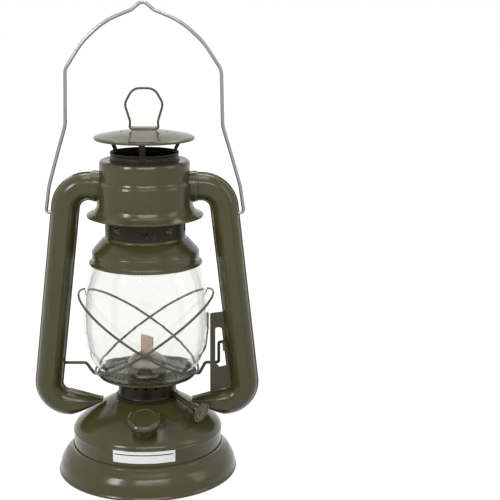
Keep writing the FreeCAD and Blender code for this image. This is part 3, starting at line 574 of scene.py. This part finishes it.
def make_filler():
    neck = lump(rounded([(6.4, -7.8), (6.85, -7.8), (6.85, 8.9), (6.4, 8.9), (6.4, -7.8)]))
    finished(turned_into(neck, FILLER_PLACE), "filler_tube", "frame", OLIVE_INSIDE,
             ("filler_neck",))
    seal = lump(rounded([(5.5, 9.25), (8.2, 9.25), (8.2, 10.9), (5.5, 10.9), (5.5, 9.25)]))
    finished(turned_into(seal, FILLER_PLACE), "filler_seal", "cap_seal", CORK,
             ("filler_gasket",))
    cap = lump(rounded([
        (0, 11.15), (8.3, 11.15), (8.1, 0.9, 0.2), (9.3, 0.9, 0.4), (11.2, 8.0, 0.8), (12.2, 8.9, 0.5),
        (12.75, 9.8, 0.5), (12.75, 11.5, 1.0), (11.3, 12.7, 1.5), (9.4, 12.9, 0.6), (8.9, 12.55, 0.5),
        (6.0, 12.7, 1.0), (0, 12.95)], 4), 72)
    for step in range(CAP_RIDGES):
        place = about_z(2 * pi * (step + 0.5) / CAP_RIDGES) @ at(10.3, 0, 4.6) @ Matrix.Rotation(
            radians(15), 4, "Y")
        ridge = bmesh.new()
        bmesh.ops.create_cone(ridge, cap_ends=True, segments=5, radius1=0.46 * MM, radius2=0.52 * MM,
                              depth=6.2 * MM)
        cap = merged(cap, turned_into(ridge, place))
    for step in range(CAP_NOTCHES):
        notch = box_bm((12.45, -0.33, 9.7), (12.88, 0.33, 11.4))
        cap = merged(cap, turned_into(notch, about_z(2 * pi * step / CAP_NOTCHES)))
    for turn in (0.35, 0.35 + pi):
        dash = box_bm((1.6, -0.55, 12.6), (5.4, 0.55, 13.25), 0.25)
        cap = merged(cap, turned_into(dash, about_z(turn)))
    finished(turned_into(cap, FILLER_PLACE), "filler_lid", "cap", OLIVE, ("filler_cap",), 32)


# ---------------------------------------------------------------- burner
WINDER_TURN = radians(-40)
WINDER = about_z(WINDER_TURN)
SLOPE = radians(18)
KNOB_REACH, KNOB_ASIDE, KNOB_Z = 52.0, 5.52, 56.3
KNOB_NOTCHES = 48
CUP_HOLES = 18
KNOB_CENTRE = (WINDER @ Vector((KNOB_REACH, KNOB_ASIDE, KNOB_Z))) * MM
SHAFT_PLACE = Matrix.Translation(KNOB_CENTRE) @ WINDER @ Matrix.Rotation(QUARTER + SLOPE, 4, "Y")


def make_burner():
    # The burner ring and cup take the darker enamel as painted shade beneath the gallery plate.
    collar = lump(rounded([
        (18, 61.05), (24.4, 61.05, 0.3), (25.2, 61.8, 0.3), (25.2, 62.3, 0.3), (24.4, 63, 0.2), (23.8, 63, 0.1),
        (23.8, 61.9, 0.1), (18, 61.9), (18, 61.05)], 3), 96)
    finished(collar, "burner_ring", "frame", OLIVE_PAINTED_SHADE, ("burner_collar",))
    base = finished(shell(rounded([
        (1.0, 62.12), (23.2, 62.12, 0.8), (23.7, 63.4, 0.4), (23.1, 64.4, 0.8), (23.1, 75.6, 0.8),
        (23.68, 76.6, 0.5), (23.68, 78.4, 0.6), (23.0, 78.98, 0.5), (11.2, 78.98)], 4), 108),
        "burner_cup", "frame", OLIVE_PAINTED_SHADE, ("burner_base",))
    holes = bmesh.new()
    for step in range(CUP_HOLES):
        place = about_z(2 * pi * step / CUP_HOLES - QUARTER) @ sideways(23.2, 0, 73.6)
        holes = merged(holes, peg(1.25, 4, 12, place))
    cut_by(base, holes)
    drum = shell(rounded([
        (14.9, 79.1), (14.9, 80.4, 0.4), (14.4, 81.1, 0.4), (14.4, 86.4, 0.4), (14.95, 87.1, 0.4),
        (14.95, 87.95)], 3), 96)
    finished(drum, "air_drum", "frame", BURNER, ("burner_drum",))
    cone = finished(shell(rounded([
        (15.55, 88.1), (15.55, 89.0, 0.3), (14.6, 91.2, 6), (12.2, 94.2, 7), (8.4, 96.0, 9), (1.2, 96.65, 6),
        (0, 96.65)], 8), 96), "flame_cone", "frame", BURNER, ("burner_cone",), 50)
    flame_slot = turned_into(box_bm((-7.75, -2, 90), (7.75, 2, 100), 0.8), WINDER)
    cut_by(cone, flame_slot)


def make_wick():
    low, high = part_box("wick")
    tube = turned_into(merged(
        box_bm((-7, -1.75, 57), (7, -1.28, 91)), box_bm((-7, 1.28, 57), (7, 1.75, 67.6)),
        box_bm((-7, 1.28, 78.9), (7, 1.75, 91)), box_bm((-7, -1.28, 57), (-6.53, 1.28, 91)),
        box_bm((6.53, -1.28, 57), (7, 1.28, 91))), WINDER)
    finished(tube, "wick_sleeve", "frame", BURNER, ("wick_tube",))
    bm = box_bm((-6.2, -0.95, low.z / MM), (6.2, 0.95, high.z / MM), 0.35)
    bmesh.ops.subdivide_edges(bm, edges=[e for e in bm.edges if e.calc_length() > 10 * MM], cuts=24,
                              use_grid_fill=True)
    top = high.z
    for vert in bm.verts:
        near = max(0.0, 1 - (top - vert.co.z) / (14 * MM))
        vert.co.x += near * near * 0.3 * MM * sin(vert.co.z * 420)
        vert.co.z -= near * 0.5 * MM * (0.5 + 0.5 * sin(vert.co.x * 2600))
        vert.co.y += near * 0.28 * MM * sin(vert.co.x * 900 + 1.2)
    tape = finished(turned_into(bm, WINDER), "wick_tape", "wick", COTTON, ("wick",), 60)


def make_winder():
    knob = lump(rounded([
        (0, 1.45), (2.2, 1.45, 0.4), (2.7, 0.75, 0.3), (4.0, 0.75, 0.3), (4.5, 1.15, 0.3), (5.6, 1.15, 0.3),
        (6.1, 0.6, 0.3), (6.9, 0.6, 0.3), (7.4, 1.2, 0.4), (8.45, 1.0, 0.6), (8.45, -1.2, 0.5),
        (7.6, -1.5, 0.3), (2.5, -1.5, 0.3),
        (2.4, -4.9, 0.2), (1.4, -4.9)], 4), 72)
    for step in range(KNOB_NOTCHES):
        notch = box_bm((8.2, -0.26, -1.0), (8.49, 0.26, 0.8))
        knob = merged(knob, turned_into(notch, about_z(2 * pi * step / KNOB_NOTCHES)))
    finished(turned_into(knob, SHAFT_PLACE), "winder_wheel", "winder", OLIVE,
             ("winder_knob",), 32)
    inner = -KNOB_REACH / cos(SLOPE) - 6
    rod = lump([Vector(p) for p in ((0, inner), (1.25, inner), (1.25, -1.55), (0, -1.55))], 32)
    finished(turned_into(rod, SHAFT_PLACE), "winder_rod", "winder", STEEL, ("winder_shaft",))
    start = -(KNOB_REACH - 23.7 + 1.5) / cos(SLOPE)
    sleeve = lump(rounded([
        (1.4, start), (2.1, start), (2.1, -8.2, 0.3), (2.35, -7.9, 0.2), (2.35, -6.3, 0.3),
        (1.4, -6.1), (1.4, start)], 3), 40)
    finished(turned_into(sleeve, SHAFT_PLACE), "winder_sleeve", "frame", OLIVE, ("winder_bush",))


# ---------------------------------------------------------------- gallery, globe and guard
GALLERY_HOLES = ((23.5, 30), (26.8, 34), (30.1, 38), (33.0, 42))


def make_gallery():
    gallery = finished(shell(rounded([
        (16.0, 80.2), (18.4, 80.2, 0.4), (19.4, 81.0, 0.5), (21.0, 80.4, 0.6), (34.6, 80.5, 0.5),
        (35.6, 81.0, 0.5),
        (38.4, 80.8, 0.8), (39.1, 82.05, 0.4), (39.65, 82.1, 0.25), (39.65, 81.2, 0.4),
        (39.2, 80.0, 0.6), (37.6, 79.55)], 4), 144),
        "gallery_plate", "globe_carrier", OLIVE, ("gallery",), 40)
    holes = bmesh.new()
    for radius, count in GALLERY_HOLES:
        for step in range(count):
            place = about_z(2 * pi * (step + radius) / count) @ at(radius, 0, 80.4)
            carrier = bpy.data.meshes.new("drill")
            drill = peg(0.95, 4, 8, place)
            drill.to_mesh(carrier)
            drill.free()
            holes.from_mesh(carrier)
            bpy.data.meshes.remove(carrier)
    cut_by(gallery, holes)


def make_globe():
    low, high = (corner.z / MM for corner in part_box("globe"))
    outer = rounded([
        (36.4, low + 0.1), (36.6, low + 2.5, 2.0), (42.9, low + 10.8, 26.0), (48.6, low + 22.5, 18.0),
        (49.9, low + 37, 30), (49.9, low + 52, 30), (48.5, low + 68, 26.0), (44.4, low + 83, 30.0),
        (41.0, low + 90.6, 9.0), (40.3, high - 0.4)], 10)
    bm = shell(outer, 160, 1.5 * MM)
    finished(bm, "lamp_globe", "globe_carrier", GLASS, ("globe",), 80)


def guard_line(side, spare):
    """The hoop that stands round the globe, low on one side and high on the other."""
    high = Vector((side * 53.2, 0, 146.5))
    low = Vector((-side * 41.05, 0, 83.0))
    middle, reach = (high + low) / 2, (high - low) / 2
    return [middle + reach * cos(2 * pi * step / 96) + Vector((0, 53.5 + spare, 0)) * sin(2 * pi * step / 96)
            for step in range(96)]


def make_guard():
    for side, name, spare in ((-1, "left", 0), (1, "right", 2.05)):
        placed(wire_mesh(guard_line(side, spare), 0.98, closed=True), "guard_hoop_" + name, "globe_carrier",
               OLIVE_WIRE, ("guard_wire_" + name,), 60)


# ---------------------------------------------------------------- hood, cap and ring
NECK_VENTS, NECK_Z = 9, 193.2


def make_hood():
    hood = finished(shell(rounded([
        (44.6, 171.55), (44.6, 172.3, 0.3), (43.4, 173.6, 1.0), (42.2, 174.6, 0.8), (42.2, 177.2, 0.6),
        (42.4, 177.8, 0.5), (42.2, 178.4, 0.5), (42.2, 180.9, 1.8), (40.4, 183.4, 1.6), (39.6, 184.2, 0.8),
        (34.2, 190.2, 2.0), (31.9, 191.6, 1.2), (31.4, 193.4, 1.0), (31.4, 214.9, 0.4),
        (26.95, 214.9)], 5), 160), "bell_hood", "hood", OLIVE, ("bell",), 46)
    holes = bmesh.new()
    for step in range(NECK_VENTS):
        place = about_z(2 * pi * step / NECK_VENTS - QUARTER) @ sideways(31, 0, 200.5)
        holes = merged(holes, peg(3.4, 6, 28, place))
    cut_by(hood, holes)
    # The neck above NECK_Z takes the darker enamel as painted shade under the canopy's brim.
    hood.data.materials.append(OLIVE_PAINTED_SHADE)
    for face in hood.data.polygons:
        if face.center.z > NECK_Z * MM:
            face.material_index = 1
    # The chimney pipe takes the darker enamel as painted shade inside the neck, so the vents look dark from
    # outside.
    pipe = shell(rounded([
        (26.75, 206.1), (26.75, 255.2, 0.5), (26.3, 256.0, 0.5), (26.3, 257.0, 0.4),
        (26.75, 257.9, 0.4), (26.75, 258.9)], 4), 128)
    finished(pipe, "chimney_pipe", "hood", OLIVE_PAINTED_SHADE, ("chimney",), 50)
    cap_line = rounded([
        (37.4, 269.5), (37.9, 268.7, 0.4), (39.05, 268.9, 0.5), (39.05, 270.3, 0.6), (37.4, 271.2, 1.2),
        (22.0, 274.1, 60), (3.0, 275.6, 10), (0, 275.6)], 6)
    cap = finished(shell(cap_line, 160), "rain_lid", "hood", OLIVE, ("rain_cap",), 46)
    slots = merged(*[turned_into(box_bm((-3.6, 17.2, 268), (3.6, 17.9, 280)), about_z(turn))
                     for turn in (QUARTER, -QUARTER)])
    cut_by(cap, slots)
    braces = []
    for turn in (-QUARTER, radians(30), radians(150)):
        points = [(26.95, 0, 254.2), (26.95, 0, 259.4), (31.4, 0, 267.2), (31.6, 0, 270.6), (35.2, 0, 271.0)]
        line = route(points, [3, 3, 1.2], 4)
        brace = ribbon([spot * MM for spot in line], Vector((0, 2.4, 0)) * MM)
        bmesh.ops.solidify(brace, geom=brace.faces[:], thickness=0.6 * MM)
        braces.append(turned_into(brace, about_z(turn)))
    # The lid braces take the darker enamel as painted shade beneath the rain lid.
    finished(merged(*braces), "lid_braces", "hood", OLIVE_PAINTED_SHADE, ("cap_struts",), 50)
    finished(make_saddle(), "ring_bridge", "hood", OLIVE, ("ring_saddle",), 40)


def make_saddle():
    """The pressed strap across the lid, front to back, with the ring's bearing at its crown."""
    half = 9.5
    crown = [(-37.2, 271.4), (-30, 272.6), (-20, 274.3), (-8.5, 275.7), (-4.6, 278.2), (4.6, 278.2),
             (8.5, 275.7), (20, 274.3), (30, 272.6), (37.2, 271.4)]
    line = rounded([crown[0]] + [spot + (3.0,) for spot in crown[1:-1]] + [crown[-1]], 5)
    bm = ribbon([Vector((0, spot.x, spot.y)) * MM for spot in line], Vector((half, 0, 0)) * MM)
    if sum(face.normal.z for face in bm.faces) < 0:
        bmesh.ops.reverse_faces(bm, faces=bm.faces)
    sides = [edge for edge in bm.edges
             if edge.is_boundary and abs(edge.verts[0].co.x - edge.verts[1].co.x) < 1e-6]
    for vert in fresh_of(bmesh.ops.extrude_edge_only(bm, edges=sides), bmesh.types.BMVert):
        vert.co.z -= 1.3 * MM
        vert.co.x *= 1.012
    ears = [peg(1.75, 1.1, 24, sideways(side * 9.0, 0, 277.0)) for side in (-1, 1)]
    return merged(bm, *ears)


def make_ring():
    half = [(6.6, 0, 277), (11.05, 0, 277), (10.65, 0, 282.5), (14.8, 0, 295.85), (8.184, 0, 307.786)]
    points = half + [(-x, y, z) for x, y, z in reversed(half)]
    placed(wire_mesh(route(points, [1.1, 7, 8, 9, 9, 8, 7, 1.1], 10), 0.93), "lifting_ring", "ring",
           OLIVE_WIRE, ("lift_ring",), 60)


def make_canopy():
    canopy = finished(shell(rounded([
        (44.9, 208.75), (45.6, 209.1, 0.3), (45.5, 210.0, 0.4), (43.6, 211.0, 1.2),
        (39.6, 213.2, 4.0), (37.6, 217.0, 4.0), (37.6, 233.8, 1.2), (37.0, 235.6, 1.3), (35.9, 236.4, 0.9),
        (35.25, 237.8, 1.0), (35.25, 250.4, 1.6), (34.4, 252.4, 1.2), (32.4, 252.95, 0.6),
        (30.6, 252.5, 0.5), (27.2, 252.5)], 6), 160),
        "air_canopy", "frame", OLIVE, ("canopy",), 46)
    cut_by(canopy, merged(*[peg(11.2, 10, 48, sideways(side * 36, 0, 232)) for side in (-1, 1)]))


# ---------------------------------------------------------------- air tubes
LEAN = radians(6.6)
TURN_X, TUBE_Z, ELBOW = 44.0, 232.0, 18.0
FOOT_X, FOOT_Z, FOOT_ELBOW = 62.0, 55.5, 16.5
TUBE_R = 11.25
SECTION_STEPS = 120
MID_LEG_Z = 0.15


def tube_line():
    """The tube's centre line: level out of the canopy, down the leg, and in over the dome."""
    line = [Vector((x, 0, TUBE_Z)) for x in (33.2, 36.5, 41.5)]
    centre = Vector((TURN_X, 0, TUBE_Z - ELBOW))
    for step in range(17):
        turn = QUARTER - (QUARTER - LEAN) * step / 16
        line.append(centre + Vector((cos(turn), 0, sin(turn))) * ELBOW)
    low = Vector((FOOT_X, 0, FOOT_Z + FOOT_ELBOW))
    out = Vector((cos(LEAN), 0, sin(LEAN)))
    start, end = line[-1], low + out * FOOT_ELBOW
    line += [start.lerp(end, step / 24) for step in range(1, 24)]
    for step in range(17):
        turn = LEAN - (QUARTER + LEAN) * step / 16
        line.append(low + Vector((cos(turn), 0, sin(turn))) * FOOT_ELBOW)
    line += [Vector((FOOT_X - step, 0, FOOT_Z)) for step in range(1, 27)]
    return line


def tube_section():
    """One ring of the pressed tube: a seam lip on each edge and a raised flat along front and back."""
    ring = []
    for step in range(SECTION_STEPS):
        turn = 2 * pi * step / SECTION_STEPS
        from_edge = min(abs(sin(turn)), 1)
        lip = abs(sin(turn)) < sin(radians(3.2))
        band = abs(cos(turn)) < sin(radians(23))
        radius = TUBE_R if lip else (TUBE_R - 0.62 - 0.25 * (1 - from_edge))
        if band:
            radius = (TUBE_R - 0.35) / max(abs(sin(turn)), 0.9) * 0.965
        ring.append(Vector((cos(turn), sin(turn))) * radius)
    return ring


def foot_shape(spot):
    """Draws the tube's end out into a tongue that lies on the dome."""
    along = FOOT_X - spot.x
    if along <= 0 or spot.z > FOOT_Z + 14:
        return spot
    share = min(along / 27.0, 1.0)
    tall = 1 - 0.93 * share ** 1.25
    wide = 1 + 0.04 * sin(pi * min(share * 1.6, 1)) - 0.52 * max(share - 0.15, 0) ** 1.3
    lift = 2.2 * share ** 1.8
    return Vector((spot.x, spot.y * wide, FOOT_Z + lift + (spot.z - FOOT_Z) * tall))


def make_tube_half(side, front):
    """One pressed half of a tube, kept above the dome where it crosses it."""
    line = tube_line()
    ring = [spot for spot in tube_section() if (spot.y <= 1e-6) == front or abs(spot.y) < 1e-6]
    ring.sort(key=lambda spot: atan2(spot.y, spot.x) if not front else -atan2(spot.y, -spot.x))
    bm = bmesh.new()
    rows = []
    for index, here in enumerate(line):
        ahead = line[min(index + 1, len(line) - 1)] - line[max(index - 1, 0)]
        ahead.normalize()
        across = Vector((ahead.z, 0, -ahead.x))
        row = []
        for spot in ring:
            place = foot_shape(here - across * spot.x + Vector((0, spot.y, 0)))
            reach = sqrt(place.x ** 2 + place.y ** 2)
            floor = 0.12 + dome_height(max(reach, COLLAR_R + 0.1))
            if place.z < floor and place.x < TANK_R + 6 and reach < TANK_R + 0.2:
                place.z = floor
            row.append(bm.verts.new((side * place.x * MM, place.y * MM, place.z * MM)))
        rows.append(row)
    edges = [[bm.edges.new(pair) for pair in zip(row, row[1:])] for row in rows]
    for upper, lower in zip(edges, edges[1:]):
        bmesh.ops.bridge_loops(bm, edges=upper + lower)
    bmesh.ops.recalc_face_normals(bm, faces=bm.faces)
    middle = [face for face in bm.faces if abs(face.calc_center_median().z - MID_LEG_Z) < 0.02]
    if sum(face.normal.y for face in middle) * (-1 if front else 1) < 0:
        bmesh.ops.reverse_faces(bm, faces=bm.faces)
    bmesh.ops.solidify(bm, geom=bm.faces[:], thickness=SHEET * 0.9)
    return bm


def make_tubes():
    for side, word in ((1, "right"), (-1, "left")):
        for front, half in ((True, "front"), (False, "back")):
            finished(make_tube_half(side, front), "tube_%s_%s" % (word, half), "frame", OLIVE,
                     ("air_tube_%s_%s" % (word, half),), 24)
        place = Matrix.Rotation(side * QUARTER, 4, "Y")
        ring = lump(rounded([
            (11.3, 34.3), (12.35, 34.3, 0.3), (12.35, 39.3, 0.4), (11.8, 39.8, 0.3), (11.8, 41.2, 0.3),
            (11.3, 41.4), (11.3, 34.3)], 3), 64)
        ring = turned_into(turned_into(ring, place), Matrix.Translation((0, 0, TUBE_Z * MM)))
        finished(ring, "tube_ring_" + word, "frame", OLIVE, ("tube_collar_" + word,), 34)


# ---------------------------------------------------------------- globe lift and bail
def make_lift():
    points = [
        (-67.3, 8, 85.6), (-49.7, 8, 85.6), (-43.3, 8, 76.3), (-32, 8.6, 76.3), (-19, 26.6, 76.3),
        (19, 26.6, 76.3), (32, 8.6, 76.3), (41.8, 8, 76.3), (46.7, 8, 85.6),
        (57.6, 8, 85.6), (57.6, -2.5, 105.6),
        (61.6, -5.6, 108.1), (62.2, -7.6, 100.1)]
    bends = [3.2, 3.2, 6, 7, 7, 6, 2.4, 2.4, 2.4, 2.2, 2.2]
    placed(wire_mesh(route(points, bends, 8), 1.28), "globe_lift_wire", "crank", OLIVE_WIRE,
           ("lift_crank",), 60)


def make_lift_plate():
    """The slotted plate on the right tube's inner wall, with the flange that the wire turns in."""
    left, sheet = 50.6, 0.9
    wall = [(left, 129.3, 1.2), (62.6, 130.9), (67.6, 94.0), (69.5, 80.0), (69.0, 71.0), (64.0, 65.0),
            (54.5, 62.8), (left, 62.8, 2.4)]
    plate = slab(rounded([(left, 100.0)] + wall + [(left, 99.9)], 5)[:-1], -sheet / 2, sheet)
    plate = finished(plate, "lift_plate", "frame", OLIVE, ("lift_bracket",), 30)
    slot = rounded([
        (left + 4.2, 100), (left + 4.2, 117.5, 1.5), (left + 9.2, 117.5, 1.5), (left + 13, 84.5, 0.6),
        (left + 7.4, 84.5, 1.5), (left + 4.2, 88, 2.0), (left + 4.2, 99.9)], 5)[:-1]
    cut_by(plate, slab(slot, -2, 4))
    flange = box_bm((left, sheet / 2 - 0.1, 74), (left + sheet, 12.0, 100), 0.3)
    flange = finished(flange, "lift_flange", "frame", OLIVE, (), 30)
    cut_by(flange, peg(1.45, 4, 24, sideways(left, 8, 85.6)))


def make_bail():
    side = [
        (70.4, 0, 211), (77.2, 0, 211), (74.2, 0, 232), (66.5, 0, 259), (60.4, 0, 279), (59.4, 0, 322),
        (45.6, 0, 343), (28.5, 0, 358.5), (8.4, 0, 366.6)]
    points = side + [(0, 0, 373.6)] + [(-x, y, z) for x, y, z in reversed(side)]
    bends = [2.4, 40, 28, 30, 12, 60, 60, 7]
    line = route(points, bends + [4.5] + bends[::-1], 12)
    placed(wire_mesh(line, 1.43, sides=6), "carrying_bail", "bail", GALVANISED,
           ("bail",), 60)


def repaint(node, look):
    """Gives a carried-over piece its finish."""
    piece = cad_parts[node]
    piece.data.materials.clear()
    piece.data.materials.append(look)


# ---------------------------------------------------------------- stage, light and camera
def sight_rays(tree):
    """1 for camera, transmission and glossy rays, so that metal and glass show the white background too."""
    path = tree.nodes.new("ShaderNodeLightPath")
    seen = sums(tree, "MAXIMUM", path.outputs["Is Camera Ray"], path.outputs["Is Transmission Ray"])
    return sums(tree, "MAXIMUM", seen, path.outputs["Is Glossy Ray"])


def make_stage():
    mesh = bpy.data.meshes.new("floor")
    bm = bmesh.new()
    bmesh.ops.create_grid(bm, x_segments=1, y_segments=1, size=6)
    bm.to_mesh(mesh)
    bm.free()
    floor = bpy.data.objects.new("floor", mesh)
    bpy.context.scene.collection.objects.link(floor)
    made, tree, shader, place = material("pale_floor")
    seen = sight_rays(tree)
    tree.links.new(colour_mix(tree, seen, (0.80, 0.80, 0.79, 1), (0.24, 0.24, 0.24, 1)),
                   shader.inputs["Base Color"])
    shader.inputs["Roughness"].default_value = 0.9
    shader.inputs["Specular IOR Level"].default_value = 0.0
    shader.inputs["Emission Color"].default_value = (1, 1, 1, 1)
    away = tree.nodes.new("ShaderNodeVectorMath")
    away.operation = "LENGTH"
    tree.links.new(place, away.inputs[0])
    glow = ranged(tree, away.outputs["Value"], 0.2, 0.9, 0.86, 1.0)
    tree.links.new(sums(tree, "MULTIPLY", seen, glow), shader.inputs["Emission Strength"])
    mesh.materials.append(made)
    world = bpy.data.worlds.new("studio")
    bpy.context.scene.world = world
    world.use_nodes = True
    tree = world.node_tree
    plain = tree.nodes["Background"]
    plain.inputs["Color"].default_value = (1, 1, 1, 1)
    plain.inputs["Strength"].default_value = 0.2
    bright = tree.nodes.new("ShaderNodeBackground")
    bright.inputs["Color"].default_value = (1, 1, 1, 1)
    bright.inputs["Strength"].default_value = 1.0
    seen = sight_rays(tree)
    pick = tree.nodes.new("ShaderNodeMixShader")
    tree.links.new(seen, pick.inputs[0])
    tree.links.new(plain.outputs[0], pick.inputs[1])
    tree.links.new(bright.outputs[0], pick.inputs[2])
    tree.links.new(pick.outputs[0], tree.nodes["World Output"].inputs["Surface"])


def softbox(name, place, aim, size, power):
    light = bpy.data.lights.new(name, "AREA")
    light.shape = "RECTANGLE"
    light.size, light.size_y = size
    light.energy = power
    lamp = bpy.data.objects.new(name, light)
    lamp.location = place
    lamp.visible_camera = False
    lamp.visible_transmission = False
    lamp.rotation_euler = (Vector(aim) - Vector(place)).to_track_quat("-Z", "Y").to_euler()
    bpy.context.scene.collection.objects.link(lamp)


def make_lights():
    middle = (0, 0, 0.16)
    softbox("key_left", (-0.95, -0.95, 1.0), middle, (0.34, 0.5), 10)
    softbox("front_bank", (0.2, -1.45, 1.4), middle, (1.3, 0.45), 13)
    softbox("rear_top", (0.0, 0.78, 1.2), middle, (0.9, 0.35), 5)
    softbox("top", (0.0, 0.0, 1.5), middle, (0.8, 0.7), 7)
    softbox("fill_right", (1.3, -0.35, 0.8), middle, (0.45, 1.0), 3.0)


SENSOR_MM = 36
CAMERA_AWAY, CAMERA_SIDE, CAMERA_UP = 0.9332, 0.0821, 0.3964
CAMERA_AZIMUTH, CAMERA_PITCH, CAMERA_ROLL = 3.4, 12.97, 0.38
FOCAL_SHARE = 1217 / 500


def make_camera():
    data = bpy.data.cameras.new("camera")
    data.sensor_width = SENSOR_MM
    data.lens = SENSOR_MM * FOCAL_SHARE
    camera = bpy.data.objects.new("camera", data)
    reach = sqrt(CAMERA_AWAY ** 2 + CAMERA_SIDE ** 2)
    swing = radians(CAMERA_AZIMUTH)
    camera.location = (reach * sin(swing), -reach * cos(swing), CAMERA_UP)
    pan = swing - atan2(CAMERA_SIDE, CAMERA_AWAY)
    camera.matrix_world = (Matrix.Translation(camera.location) @ Matrix.Rotation(pan, 4, "Z")
                           @ Matrix.Rotation(QUARTER - radians(CAMERA_PITCH), 4, "X")
                           @ Matrix.Rotation(radians(CAMERA_ROLL), 4, "Z"))
    bpy.context.scene.collection.objects.link(camera)
    bpy.context.scene.camera = camera


make_tank()
make_level_strip()
make_filler()
make_burner()
make_wick()
make_winder()
make_gallery()
make_globe()
make_guard()
make_hood()
make_ring()
make_canopy()
make_tubes()
make_lift()
make_lift_plate()
make_bail()
repaint("star_wheels", STEEL)
repaint("hood_spring", STEEL)
make_stage()
make_lights()
make_camera()
bpy.context.scene.view_settings.view_transform = "Standard"
